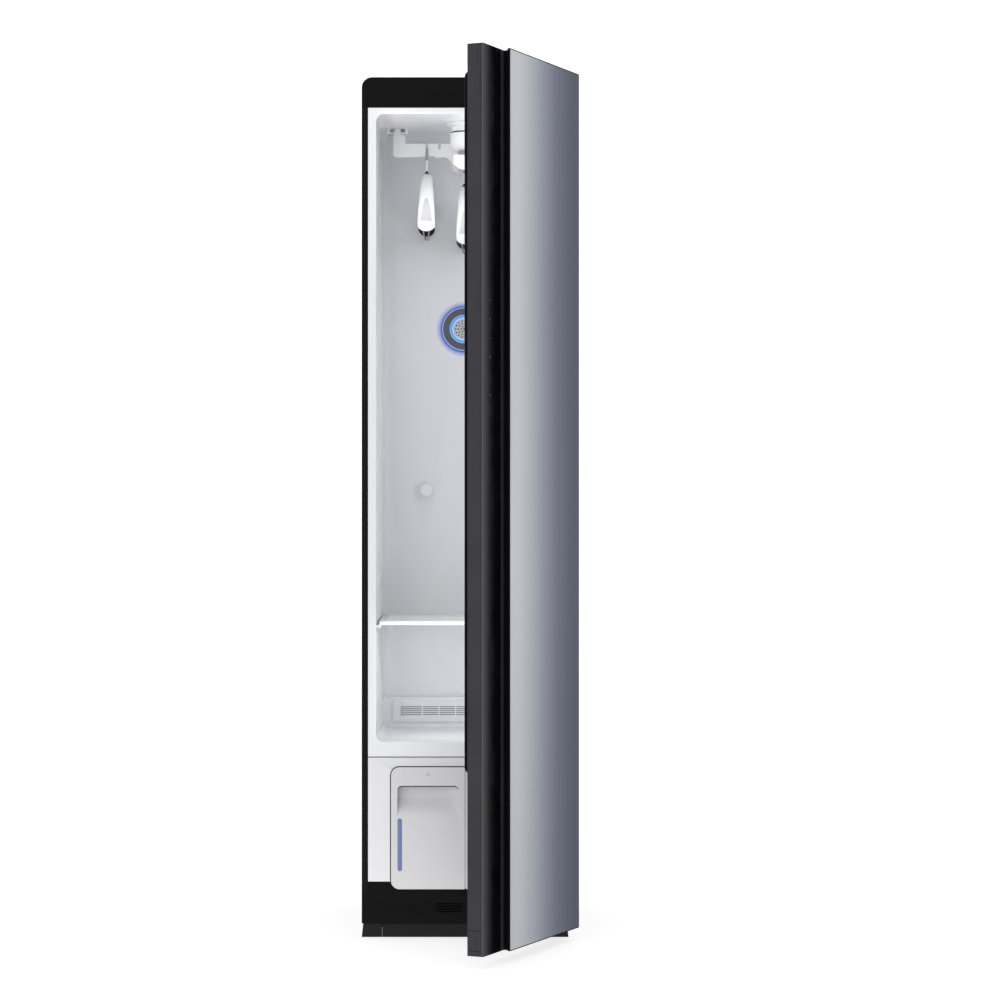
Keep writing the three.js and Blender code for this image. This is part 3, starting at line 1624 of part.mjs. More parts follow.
// Steel arm under the pan with a pin and the washer that carries the door.
function lowerHinge() {
  const z1 = panZ - fitGap;
  const z0 = z1 - hingeArmThickness;
  const arm = unite(
    block(pivotX - hingeArmWidth / 2, pivotX + hingeArmWidth / 2, pivotY,
      deep(lowerArmLength), z0, z1),
    drumZ(hingeArmWidth / 2, pivotX, pivotY, z0, z1, midSides),
  );
  const washer = drumZ(hingeWasherRadius, pivotX, pivotY, z0, doorBottomZ - fitGap, midSides);
  const pin = drumZ(
    hingePinRadius, pivotX, pivotY, z0, doorBottomZ + hingePinLength - fitGap, smallSides,
  );
  return unite(arm, washer, pin);
}

// Hermetic compressor: a domed shell on a square mounting plate.
function compressor() {
  const y = deep(compressorDepth);
  const low = panTopZ + compressorPlateHeight;
  const high = panTopZ + compressorHeight;
  const profile = [[0, low]];
  for (let step = 0; step <= curveSteps; step += 1) {
    const angle = (step / curveSteps) * (Math.PI / 2);
    profile.push([
      compressorRadius * Math.sin(angle), low + compressorDome * (1 - Math.cos(angle)),
    ]);
  }
  for (let step = curveSteps; step > 0; step -= 1) {
    const angle = (step / curveSteps) * (Math.PI / 2);
    profile.push([
      compressorRadius * Math.sin(angle), high - compressorDome * (1 - Math.cos(angle)),
    ]);
  }
  profile.push([0, high]);
  const half = compressorPlate / 2;
  const plate = alongZ(
    roundedOutline(
      compressorX - half, compressorX + half, y - half, y + half, compressorPlateHeight * 2,
    ),
    panTopZ, panTopZ + compressorPlateHeight * 2,
  );
  return unite(turnedZ(profile, compressorX, y, midSides), plate);
}

// Scroll outline that widens round the wheel and leaves upwards.
function scrollOutline(inset, topZ) {
  const start = rad(scrollStartAngle);
  const points = [];
  for (let i = 0; i <= scrollPoints; i += 1) {
    const share = i / scrollPoints;
    const angle = start + share * (Math.PI * 2 - start);
    const r = THREE.MathUtils.lerp(scrollStartRadius, scrollEndRadius, share) - inset;
    points.push([blowerX + r * Math.cos(angle), blowerZ + r * Math.sin(angle)]);
  }
  points.push([blowerX + scrollEndRadius - inset, topZ]);
  points.push([blowerX + scrollStartRadius * Math.cos(start) + inset, topZ]);
  return outline(points);
}

// Blower scroll with the wheel's axle in it and the coils' drip tray on top.
function blowerHousing() {
  const [y0, y1] = [deep(blowerFront), deep(blowerFront + blowerLength)];
  const outer = alongY(scrollOutline(0, trayZ + trayThickness / 2), y0, y1);
  const foot = block(
    blowerX - blowerFootHalf, blowerX + blowerFootHalf, y0, y1,
    panTopZ, panTopZ + blowerFootHeight,
  );
  const tray = block(
    trayLeft, trayRight, deep(trayFront), deep(trayBack), trayZ, trayZ + trayThickness,
  );
  const inner = alongY(
    scrollOutline(blowerWall, trayZ + trayThickness + overrun), y0 + blowerWall, y1 - blowerWall,
  );
  const inlet = drumY(
    inletRadius, blowerX, blowerZ, y0 - overrun, y0 + blowerWall + overrun, midSides,
  );
  const axle = drumY(
    axleRadius, blowerX, blowerZ, y1 - blowerWall - axleLength, y1 - blowerWall / 2, smallSides,
  );
  return unite(cut(unite(outer, foot, tray), inner, inlet), axle);
}

// Centrifugal wheel: rear disc, leaning blades, front ring and a bored hub.
function blowerWheel() {
  const [y0, y1] = [wheelY, wheelY + wheelLength];
  const ringInner = wheelRadius - bladeWidth;
  const disc = drumY(wheelRadius, blowerX, blowerZ, y1 - wheelDisc, y1, midSides);
  const frontRing = turnedY([
    [ringInner, y0],
    [wheelRadius, y0],
    [wheelRadius, y0 + wheelDisc],
    [ringInner, y0 + wheelDisc],
  ], blowerX, blowerZ, midSides);
  const hub = drumY(
    wheelHubRadius, blowerX, blowerZ, y1 - wheelLength / 2, y1 - wheelDisc / 2, smallSides,
  );
  const middleRadius = wheelRadius - bladeWidth / 2 - bladeThickness;
  const blades = Array.from({ length: wheelBlades }, (_, i) => {
    const angle = (i / wheelBlades) * Math.PI * 2;
    const geometry = new THREE.BoxGeometry(
      bladeWidth, wheelLength - wheelDisc, bladeThickness,
    );
    geometry.rotateY(rad(bladePitchDeg));
    geometry.translate(middleRadius, (y0 + y1) / 2, 0);
    geometry.rotateY(angle);
    geometry.translate(blowerX, 0, blowerZ);
    return solid(geometry);
  });
  const bore = drumY(
    axleRadius + runClear, blowerX, blowerZ, y0 - overrun, y1 + overrun, smallSides,
  );
  return cut(unite(disc, frontRing, hub, ...blades), bore);
}

// Finned heat exchanger block on the drip tray.
function coil(frontDepth) {
  const [x0, x1] = [trayLeft + coilSideGap, trayRight - coilSideGap];
  const [y0, y1] = [deep(frontDepth), deep(frontDepth + coilDepth)];
  const pitch = (x1 - x0 - 2 * coilEnd) / coilFins;
  const slots = Array.from({ length: coilFins }, (_, i) => block(
    x0 + coilEnd + i * pitch + coilFin / 2, x0 + coilEnd + (i + 1) * pitch - coilFin / 2,
    y0 - overrun, y1 + overrun, coilBottomZ + coilEnd, coilTopZ - coilEnd,
  ));
  return cut(block(x0, x1, y0, y1, coilBottomZ, coilTopZ), ...slots);
}

// Boiler on the pan with the steam pipe that climbs behind the liner to the round lamp.
function steamGenerator() {
  const y = deep(boilerDepth);
  const body = alongZ(
    roundedOutline(
      boilerX - boilerWidth / 2, boilerX + boilerWidth / 2,
      y - boilerLength / 2, y + boilerLength / 2, boilerCorner,
    ),
    panTopZ, panTopZ + boilerHeight,
  );
  const backY = backWallY + linerWall + riserBehind;
  const boilerTop = panTopZ + boilerHeight;
  const ductZ = cavityFloorZ - riserBend;
  const route = new THREE.CatmullRomCurve3([
    new THREE.Vector3(boilerX, y, boilerTop - boilerCorner),
    new THREE.Vector3(boilerX, y, boilerTop + riserBend),
    new THREE.Vector3(boilerX, y + riserBend, ductZ),
    new THREE.Vector3(boilerX, backY - riserBend / 2, ductZ + riserBehind),
    new THREE.Vector3(boilerX, backY, cavityFloorZ + riserBend),
    new THREE.Vector3(boilerX, backY, (cavityFloorZ + lampZ) / 2),
    new THREE.Vector3(boilerX / 2, backY, lampZ - riserLift),
    new THREE.Vector3(0, backY, lampZ - riserLift / 2),
    new THREE.Vector3(0, backY - fitGap, lampZ - riserBehind),
    new THREE.Vector3(0, backY - riserBehind / 2, lampZ),
    new THREE.Vector3(0, backWallY, lampZ),
  ], false, 'centripetal');
  return unite(body, sweep(route, riserRadius, riserSides, riserSteps));
}

function waterPump() {
  const y = deep(pumpDepth);
  const z = panTopZ + pumpFoot + pumpRadius;
  const can = drumY(pumpRadius, pumpX, z, y - pumpLength / 2, y + pumpLength / 2, midSides);
  const foot = block(
    pumpX - pumpRadius, pumpX + pumpRadius, y - pumpLength / 2 + pumpFoot,
    y + pumpLength / 2 - pumpFoot, panTopZ, z,
  );
  return unite(can, foot);
}

// Board on four stand-offs over the cavity, with its larger parts on top.
function controlBoard() {
  const [y0, y1] = [deep(boardStart), deep(boardStart + boardDepth)];
  const low = linerRoofZ + boardStandoff;
  const half = boardWidth / 2;
  const plate = block(-half, half, y0, y1, low, low + boardThickness);
  const margin = 2 * boardStandoffRadius;
  const posts = [];
  for (const x of [-half + margin, half - margin]) {
    for (const y of [y0 + margin, y1 - margin]) {
      posts.push(drumZ(boardStandoffRadius, x, y, linerRoofZ, low + boardThickness / 2, smallSides));
    }
  }
  const top = low + boardThickness / 2;
  const third = boardWidth / 3;
  const parts = [
    block(
      -half + margin, -half + third, y0 + 2 * margin, y1 - 2 * margin,
      top, top + boardPartHeight,
    ),
    block(margin, third, y0 + margin, y0 + boardDepth / 2, top, top + boardPartHeight / 2),
  ];
  return unite(plate, ...posts, ...parts);
}

const cabinet = new THREE.Group();
cabinet.name = 'clothes_care_cabinet';

const side = sidePanel();
add(cabinet, 'side_panel_right', side, looks.blackSteel);
add(cabinet, 'side_panel_left', mirrored(side), looks.blackSteel);
add(cabinet, 'top_cap', topCap(), looks.blackTrim);
add(cabinet, 'rear_panel', rearPanel(), looks.galvanised);
add(cabinet, 'base_pan', basePan(), looks.galvanised);
add(cabinet, 'cavity_liner', cavityLiner(), looks.whiteLiner);
add(cabinet, 'tank_fascia', tankFascia(), looks.whitePlastic);
add(cabinet, 'lower_grille', lowerGrille(), looks.blackTrim);
add(cabinet, 'plinth', plinth(), looks.plinthGrey);
add(cabinet, 'foot_cap_right', footCap(true), looks.plinthGrey);
add(cabinet, 'foot_cap_left', mirrored(footCap(false)), looks.plinthGrey);
add(cabinet, 'front_foot_left', levellingFoot(-1), looks.rubber);
add(cabinet, 'front_foot_right', levellingFoot(1), looks.rubber);

const bracket = guideBracket();
const rod = guideRod();
add(cabinet, 'guide_bracket_right', bracket, looks.whitePlastic);
add(cabinet, 'guide_bracket_left', mirrored(bracket), looks.whitePlastic);
add(cabinet, 'guide_rod_right', rod, looks.steel);
add(cabinet, 'guide_rod_left', mirrored(rod), looks.steel);
add(cabinet, 'hub_flange', hubFlange(), looks.whitePlastic);
add(cabinet, 'crank_hub', crankHub(), looks.whitePlastic);
add(cabinet, 'drive_motor', driveMotor(), looks.galvanised);
add(cabinet, 'hanger_bar', hangerBar(), looks.whitePlastic);

// One hanger hangs in the last notch on the left and one in the eye in the middle.
const hangerSeats = {
  left: [-notchesPerSide * notchPitch, barTopZ - notchDepth],
  centre: [0, eyeBottomZ],
};
for (const [place, [x, seatZ]] of Object.entries(hangerSeats)) {
  // It leans forward about its hook's centre, so that the hook keeps its seat.
  const lean = new THREE.Group();
  lean.position.set(x, deep(barDepth), hookCentreZ(seatZ));
  lean.rotation.x = rad(hangerTilt);
  const hanger = new THREE.Group();
  hanger.position.copy(lean.position).negate();
  lean.add(hanger);
  cabinet.add(lean);
  add(hanger, `hanger_${place}_hook`, hangerHook(x, seatZ), looks.steel);
  add(hanger, `hanger_${place}_body`, hangerBody(x, seatZ), looks.whitePlastic);
  add(hanger, `hanger_${place}_cap_front`, hangerCap(x, seatZ, -1), looks.rubber);
  add(hanger, `hanger_${place}_cap_rear`, hangerCap(x, seatZ, 1), looks.rubber);
  add(hanger, `hanger_${place}_trouser_bar`, trouserBar(x, seatZ), looks.steel);
}

add(cabinet, 'ring_bezel', ringBezel(), looks.lampGrey);
add(cabinet, 'ring_light', ringLight(), looks.lampBlue);
add(cabinet, 'steam_plate', steamPlate(), looks.plateGrey);
add(cabinet, 'peg_left', peg(-1), looks.whiteLiner);
add(cabinet, 'peg_right', peg(1), looks.whiteLiner);
add(cabinet, 'shelf', shelf(), looks.shelfWhite);
add(cabinet, 'lint_filter', lintFilter(), looks.whitePlastic);

const vessel = tankVessel();
add(cabinet, 'tank_right_front', tankFront(1), looks.tankGrey);
add(cabinet, 'tank_right_vessel', vessel, looks.tankBlue);
add(cabinet, 'tank_right_window', tankWindow(1), looks.levelBlue);
add(cabinet, 'tank_left_front', tankFront(-1), looks.tankGrey);
add(cabinet, 'tank_left_vessel', mirrored(vessel), looks.tankBlue);
add(cabinet, 'tank_left_window', tankWindow(-1), looks.levelBlue);

add(cabinet, 'hinge_upper', upperHinge(), looks.steel);
add(cabinet, 'hinge_lower', lowerHinge(), looks.steel);
add(cabinet, 'compressor', compressor(), looks.compressorBlack);
add(cabinet, 'blower_housing', blowerHousing(), looks.darkGrey);
add(cabinet, 'blower_wheel', blowerWheel(), looks.plateGrey);
add(cabinet, 'evaporator', coil(evaporatorFront), looks.aluminium);
add(cabinet, 'condenser', coil(condenserFront), looks.aluminium);
add(cabinet, 'steam_generator', steamGenerator(), looks.galvanised);
add(cabinet, 'water_pump', waterPump(), looks.darkGrey);
add(cabinet, 'control_board', controlBoard(), looks.boardGreen);

// The door turns about its pins: the outer group carries the angle, the inner one the leaf.
const doorHinge = new THREE.Group();
doorHinge.position.set(pivotX, pivotY, 0);
doorHinge.rotation.z = rad(doorAngleDeg);
const doorLeaf = new THREE.Group();
doorLeaf.position.set(-pivotX, -pivotY, 0);
doorHinge.add(doorLeaf);
cabinet.add(doorHinge);
add(doorLeaf, 'door_frame', doorFrame(), looks.darkGrey);
add(doorLeaf, 'door_inner_panel', doorInnerPanel(), looks.darkGrey);
add(doorLeaf, 'door_gasket', doorGasket(), looks.gasketBlack);
add(doorLeaf, 'mirror_panel', mirrorPanel(), looks.mirror);
add(doorLeaf, 'mirror_carrier', mirrorCarrier(), looks.glassBlack);
add(doorLeaf, 'display_strip', displayStrip(), looks.glassBlack);

export default cabinet;
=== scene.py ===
"""A slim clothes care steam cabinet with its mirror door part open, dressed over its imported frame.

Metres, +X to the right, +Y to the back, +Z up. The frame gives every place and size; the
door's own pieces are shaped as if it were shut and then turned with it.
"""

import json
import math

import bmesh
import bpy
from mathutils import Matrix, Vector
from mathutils.bvhtree import BVHTree

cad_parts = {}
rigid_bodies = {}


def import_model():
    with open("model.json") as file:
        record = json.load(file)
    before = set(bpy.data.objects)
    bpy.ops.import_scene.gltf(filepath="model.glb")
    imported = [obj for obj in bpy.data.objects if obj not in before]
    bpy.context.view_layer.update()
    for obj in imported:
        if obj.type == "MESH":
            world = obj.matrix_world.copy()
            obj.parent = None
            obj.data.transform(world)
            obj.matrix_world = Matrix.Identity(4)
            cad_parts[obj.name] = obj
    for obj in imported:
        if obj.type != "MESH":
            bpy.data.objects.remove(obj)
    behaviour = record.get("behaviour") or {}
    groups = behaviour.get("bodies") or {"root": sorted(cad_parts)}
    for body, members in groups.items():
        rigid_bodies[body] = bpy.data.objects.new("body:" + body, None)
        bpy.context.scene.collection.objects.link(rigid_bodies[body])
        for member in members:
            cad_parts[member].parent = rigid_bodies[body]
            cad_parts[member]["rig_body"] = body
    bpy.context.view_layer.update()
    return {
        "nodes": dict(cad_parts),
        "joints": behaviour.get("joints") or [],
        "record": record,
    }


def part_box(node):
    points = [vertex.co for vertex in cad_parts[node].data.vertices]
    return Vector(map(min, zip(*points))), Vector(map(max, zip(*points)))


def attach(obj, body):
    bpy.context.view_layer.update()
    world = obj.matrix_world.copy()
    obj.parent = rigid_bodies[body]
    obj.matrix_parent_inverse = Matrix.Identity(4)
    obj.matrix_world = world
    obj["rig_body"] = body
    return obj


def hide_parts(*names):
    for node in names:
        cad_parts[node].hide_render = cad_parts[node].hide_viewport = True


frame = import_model()

MM = 0.001
SIDES = {"left": -1, "right": 1}
ENDS = {"front": -1, "rear": 1}
scene = bpy.context.scene
nodes = frame["nodes"]
slot_of = {part["node"]: part["material_slot"] for part in frame["record"]["subparts"]}
joints = {joint["name"]: joint for joint in frame["joints"]}

# Materials

CLOUD_SCALE, GRAIN_DETAIL, GRAIN_STRENGTH = 9, 4, 0.35
GLOSS_SPREAD, COAT_ROUGHNESS = 0.06, 0.08
METAL_GRAIN, METAL_DETAIL, METAL_STRENGTH, METAL_DEPTH = 260, 3, 0.2, 0.01 * MM
METAL_SHADES, METAL_SMOOTHER, METAL_ROUGHER, METAL_DRAWN = (0.86, 1.08), 0.08, 0.1, 0.3


def settle(node, values):
    """Sets the sockets of a node that keep one value."""
    for socket, value in values.items():
        node.inputs[socket].default_value = value


def add(tree, kind, links=(), values=()):
    """A new node with its links and the sockets that keep one value."""
    node = tree.nodes.new("ShaderNode" + kind)
    settle(node, dict(values))
    for socket, source in dict(links).items():
        tree.links.new(source, node.inputs[socket])
    return node


def feed(tree, shader, tone, gloss=None):
    """Lets textures drive a shader's colour and its roughness."""
    tree.links.new(tone, shader.inputs["Base Color"])
    if gloss is not None:
        tree.links.new(gloss, shader.inputs["Roughness"])


def stepped(tree, factor, stops):
    """A colour that runs through several stops along a number."""
    node = add(tree, "ValToRGB", {"Fac": factor})
    elements = node.color_ramp.elements
    for element, (place, colour) in zip(elements, (stops[0], stops[-1])):
        element.position = place
        element.color = (*colour, 1)
    for place, colour in stops[1:-1]:
        elements.new(place).color = (*colour, 1)
    return node.outputs["Color"]


def ramp(tree, factor, low, high, start=0.3, end=0.7):
    """A colour between low and high that follows a texture."""
    return stepped(tree, factor, [(start, low), (end, high)])


def span(tree, factor, low, high, start=0.3, end=0.7):
    """A number between low and high that follows a texture."""
    limits = {"From Min": start, "From Max": end, "To Min": low, "To Max": high}
    return add(tree, "MapRange", {"Value": factor}, limits).outputs["Result"]


def object_space(tree, scale=(1, 1, 1)):
    """Object coordinates, stretched per axis."""
    place = add(tree, "TexCoord").outputs["Object"]
    return add(tree, "Mapping", {"Vector": place}, {"Scale": scale}).outputs["Vector"]


def noise(tree, scale, detail=GRAIN_DETAIL, stretch=(1, 1, 1)):
    place = {"Vector": object_space(tree, stretch)}
    return add(tree, "TexNoise", place, {"Scale": scale, "Detail": detail}).outputs["Fac"]


def bump(tree, shader, height, strength, distance):
    node = add(tree, "Bump", {"Height": height}, {"Strength": strength, "Distance": distance})
    tree.links.new(node.outputs["Normal"], shader.inputs["Normal"])


def blank(name):
    material = bpy.data.materials.new(name)
    material.use_nodes = True
    tree = material.node_tree
    return material, tree, tree.nodes["Principled BSDF"]


def shade(colour, factor):
    return tuple(min(1, channel * factor) for channel in colour)


def clouded(tree, colour, scale, spread):
    """A colour that is softly uneven by a share of itself."""
    return ramp(tree, noise(tree, scale), shade(colour, 1 - spread), shade(colour, 1 + spread))


def moulded(name, colour, roughness, grain=500, depth=0.02, uneven=0.06, specular=0.5, coat=0):
    """Moulded plastic or paint: fine grain, a soft unevenness of tone and of gloss."""
    material, tree, shader = blank(name)
    fine = noise(tree, grain)
    gloss = span(tree, fine, roughness - GLOSS_SPREAD, roughness + GLOSS_SPREAD)
    feed(tree, shader, clouded(tree, colour, CLOUD_SCALE, uneven), gloss)
    settle(shader, {
        "Specular IOR Level": specular, "Coat Weight": coat, "Coat Roughness": COAT_ROUGHNESS,
    })
    bump(tree, shader, fine, GRAIN_STRENGTH, depth * MM)
    return material


def metal(name, colour, roughness, stretch, metallic):
    """Bare metal with drawn or rolled lines along one axis."""
    material, tree, shader = blank(name)
    lines = noise(tree, METAL_GRAIN, METAL_DETAIL, stretch)
    tone = ramp(tree, lines, *(shade(colour, factor) for factor in METAL_SHADES))
    feed(tree, shader, tone, span(tree, lines, roughness - METAL_SMOOTHER, roughness + METAL_ROUGHER))
    settle(shader, {"Metallic": metallic, "Anisotropic": METAL_DRAWN})
    bump(tree, shader, lines, METAL_STRENGTH, METAL_DEPTH)
    return material


def zinc_sheet():
    """Galvanised sheet with its spangle."""
    material, tree, shader = blank("galvanised_steel")
    spangle = add(tree, "TexVoronoi", {"Vector": object_space(tree)}, {"Scale": 85})
    grey = add(tree, "SeparateColor", {"Color": spangle.outputs["Color"]})
    tone = ramp(tree, grey.outputs["Red"], (0.36, 0.37, 0.385), (0.5, 0.51, 0.52), 0, 1)
    feed(tree, shader, tone, span(tree, grey.outputs["Green"], 0.32, 0.52, 0, 1))
    settle(shader, {"Metallic": 0.9})
    bump(tree, shader, noise(tree, 380), 0.15, 0.02 * MM)
    return material


lamp_low, lamp_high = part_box("ring_bezel")
lamp_centre = (lamp_low + lamp_high) / 2
lamp_radius = (lamp_high.x - lamp_low.x) / 2
LINER_WHITE = (0.845, 0.85, 0.872)
# Painted light: the lamp's blue glow on the liner, painted into its colour out to this reach from the
# lamp's rim
PAINTED_LAMP_GLOW_REACH = 15 * MM
PAINTED_LAMP_GLOW = [
    (0, (0.1, 0.2, 0.7)), (0.15, (0.12, 0.23, 0.72)), (0.3, (0.36, 0.47, 0.95)),
    (0.6, (0.72, 0.75, 1)), (1, (1, 1, 1)),
]
RING_INNER, RING_OUTER = 24 * MM, 32.7 * MM
PALE_CYAN, LAMP_BLUE, HIGHLIGHT_BLUE = (0.40, 0.62, 0.82), (0.07, 0.28, 0.80), (0.36, 0.56, 0.92)
LAVENDER = (0.35, 0.44, 0.75)
# Tones of the lit ring from its inner to its outer edge; the paler blue at its outer edge is a painted
# highlight
RING_STOPS = [
    (0, PALE_CYAN), (0.3, PALE_CYAN), (0.5, LAMP_BLUE), (0.82, LAMP_BLUE), (0.95, HIGHLIGHT_BLUE),
]


def radial(tree, inner, outer):
    """Share of the way between two radii round the lamp's axis."""
    place = add(tree, "TexCoord").outputs["Object"]
    middle = (lamp_centre.x, lamp_high.y, lamp_centre.z)
    offset = add(tree, "VectorMath", {0: place}, {1: middle})
    offset.operation = "SUBTRACT"
    length = add(tree, "VectorMath", {0: offset.outputs["Vector"]})
    length.operation = "LENGTH"
    return span(tree, length.outputs["Value"], 0, 1, inner, outer)


def glossy_liner():
    """Glossy white liner, with the lamp's blue light painted into its colour round the lamp."""
    material, tree, shader = blank("white_liner")
    painted_glow_share = radial(tree, lamp_radius, lamp_radius + PAINTED_LAMP_GLOW_REACH)
    tint = tree.nodes.new("ShaderNodeMix")
    tint.data_type = "RGBA"
    tint.blend_type = "MULTIPLY"
    settle(tint, {"Factor": 1})
    tree.links.new(clouded(tree, LINER_WHITE, 5, 0.02), tint.inputs["A"])
    tree.links.new(stepped(tree, painted_glow_share, PAINTED_LAMP_GLOW), tint.inputs["B"])
    wave = noise(tree, 4, 1)
    feed(tree, shader, tint.outputs["Result"], span(tree, wave, 0.1, 0.14))
    bump(tree, shader, wave, 0.1, 0.5 * MM)
    return material


def glass(name, scale, tones, gloss, values):
    """Glass over a metal or printed back, with the slightest haze."""
    material, tree, shader = blank(name)
    haze = noise(tree, scale, 2)
    feed(tree, shader, ramp(tree, haze, *tones), span(tree, haze, *gloss))
    settle(shader, values)
    return material


def milky(name, colour, roughness, transmission):
    """Plastic that lets some light through."""
    material, tree, shader = blank(name)
    fine = noise(tree, 420)
    gloss = span(tree, fine, roughness - 0.05, roughness + 0.05)
    feed(tree, shader, clouded(tree, colour, 12, 0.05), gloss)
    settle(shader, {"Transmission Weight": transmission})
    bump(tree, shader, fine, 0.15, 0.02 * MM)
    return material


def light_guide(name, stops, strength):
    """A lit blue ring whose tone changes from its inner to its outer edge."""
    material, tree, shader = blank(name)
    tone = stepped(tree, radial(tree, RING_INNER, RING_OUTER), stops)
    feed(tree, shader, tone)
    tree.links.new(tone, shader.inputs["Emission Color"])
    settle(shader, {"Emission Strength": strength, "Roughness": 0.25})
    return material


def circuit_board():
    """Green board with paler tracks."""
    material, tree, shader = blank("board_green")
    track = add(tree, "TexBrick", {"Vector": object_space(tree)}, {
        "Scale": 60, "Color1": (0.016, 0.10, 0.04, 1), "Color2": (0.02, 0.13, 0.05, 1),
        "Mortar": (0.06, 0.26, 0.11, 1),
    })
    feed(tree, shader, track.outputs["Color"])
    settle(shader, {"Roughness": 0.35})
    return material


# Colour, roughness, scale and depth in mm of the grain, unevenness, gloss and coat
moulded_finishes = {
    "black_steel": ((0.006, 0.006, 0.0068), 0.36, 900, 0.03, 0.06, 0.2),
    "black_trim": ((0.003, 0.003, 0.0033), 0.34, 650, 0.02, 0.06, 0.2),
    "white_plastic": ((0.80, 0.80, 0.815), 0.34, 520, 0.02, 0.02),
    # The hangers' white is the white plastic made lighter, which paints more light onto them
    "hanger_white": ((0.85, 0.85, 0.86), 0.34, 520, 0.02, 0.01),
    "plinth_grey": ((0.013, 0.013, 0.0145), 0.5, 800, 0.06, 0.12, 0.2),
    "lamp_grey": ((0.11, 0.115, 0.128), 0.38, 600),
    "plate_grey": ((0.55, 0.555, 0.6), 0.4, 600),
    "compressor_black": ((0.01, 0.01, 0.011), 0.3, 300, 0.05, 0.06, 0.5, 0.4),
    "dark_plastic": ((0.045, 0.045, 0.05), 0.5, 600, 0.04),
    "door_grey": ((0.034, 0.0325, 0.039), 0.36, 760, 0.02, 0.08, 0.25),
    "gasket_rubber": ((0.003, 0.003, 0.004), 0.55, 500, 0.05, 0.2, 0.15),
    "foot_rubber": ((0.02, 0.02, 0.021), 0.65, 500, 0.08, 0.2),
    "dark_rubber": ((0.008, 0.008, 0.01), 0.5, 500, 0.05, 0.15, 0.25),
    "navy_rubber": ((0.028, 0.034, 0.048), 0.5, 500, 0.05, 0.15, 0.25),
    "tank_grey": ((0.69, 0.685, 0.705), 0.3, 420, 0.004, 0.01),
    "inlay_grey": ((0.56, 0.57, 0.58), 0.4, 500, 0.02, 0.02),
    # A lighter grey for the door's corner strip: a painted highlight
    "trim_grey": ((0.07, 0.069, 0.074), 0.34, 500, 0.01, 0.02),
    "mesh_grey": ((0.3, 0.305, 0.32), 0.5, 900, 0.1),
    "pin_grey": ((0.3, 0.3, 0.31), 0.4),
    "print_grey": ((0.24, 0.245, 0.26), 0.4, 500, 0.01),
    "mark_grey": ((0.02, 0.02, 0.022), 0.4, 500, 0.01),
    # A dull near-black that paints shade in gaps, holes and under lips, and also colours dark joints and
    # the mirror's rim
    "shadow_black": ((0.003, 0.003, 0.004), 0.6, 500, 0.02, 0.2, 0.1),
}
# Colour, roughness, how the lines are squeezed along each axis and how metallic
metal_finishes = {
    "bright_steel": ((0.8, 0.8, 0.82), 0.2, (1, 8, 1), 1),
    "wire_steel": ((0.9, 0.9, 0.91), 0.3, (1, 1, 1), 0.2),
    "fin_aluminium": ((0.62, 0.63, 0.65), 0.3, (1, 1, 10), 1),
    "sleeve_grey": ((0.36, 0.365, 0.38), 0.32, (1, 8, 1), 0.5),
    "rail_grey": ((0.42, 0.43, 0.45), 0.35, (1, 8, 1), 0.6),
}
# Colour, roughness and transmission
milky_finishes = {
    "shelf_plastic": ((0.94, 0.95, 0.97), 0.25, 0.12),
    "tank_blue": ((0.42, 0.55, 0.72), 0.2, 0.6),
    "level_blue": ((0.20, 0.28, 0.52), 0.16, 0.2),
}
materials = {
    "galvanised_steel": zinc_sheet(),
    "white_liner": glossy_liner(),
    "lamp_blue": light_guide("lamp_blue", RING_STOPS, 0.35),
    "lamp_line": light_guide("lamp_line", [(0, LAVENDER), (1, LAVENDER)], 0.55),
    "board_green": circuit_board(),
    "mirror_glass": glass(
        "mirror_glass", 3, [(0.615, 0.62, 0.63), (0.63, 0.635, 0.645)], (0.015, 0.025),
        {"Metallic": 1},
    ),
    "strip_glass": glass(
        "strip_glass", 22, [(0.0015, 0.0015, 0.002), (0.003, 0.003, 0.0035)], (0.015, 0.03),
        {"Specular IOR Level": 0.35},
    ),
}
makers = {moulded: moulded_finishes, metal: metal_finishes, milky: milky_finishes}
for maker, finishes in makers.items():
    for name, values in finishes.items():
        materials[name] = maker(name, *values)

# Ways to make pieces

SHARP = math.radians(32)
FLAT = math.radians(0.4)
WELD, TOUCH, NEAR = 0.005 * MM, 0.001 * MM, 0.1 * MM
# Flat faces with many openings only stay flat when they are triangles before their edges are
# rounded.
pierced_nodes = {
    "shelf", "door_frame", "condenser", "evaporator", "control_board", "guide_bracket_left",
    "guide_bracket_right",
}


def finished(piece, body, slot, node=None, look=None):
    """Gives a piece its material, its body and the node that it stands for."""
    piece.data.materials.clear()
    piece.data.materials.append(materials[look or slot])
    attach(piece, body)
    if node:
        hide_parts(node)


def lerp(a, b, share):
    return a + (b - a) * share


def rounded_edges(piece, width):
    bevel = piece.modifiers.new("edges", "BEVEL")
    bevel.width = width
    bevel.segments = 2
    bevel.limit_method = "ANGLE"
    bevel.angle_limit = SHARP
    bevel.harden_normals = True
    bevel.miter_outer = "MITER_ARC"


def object_from(name, bm, angle=SHARP):
    """A smooth object of a mesh, with its edges over an angle sharp."""
    bmesh.ops.recalc_face_normals(bm, faces=bm.faces)
    mesh = bpy.data.meshes.new(name)
    bm.to_mesh(mesh)
    bm.free()
    for polygon in mesh.polygons:
        polygon.use_smooth = True
    mesh.set_sharp_from_angle(angle=angle)
    piece = bpy.data.objects.new(name, mesh)
    scene.collection.objects.link(piece)
    return piece


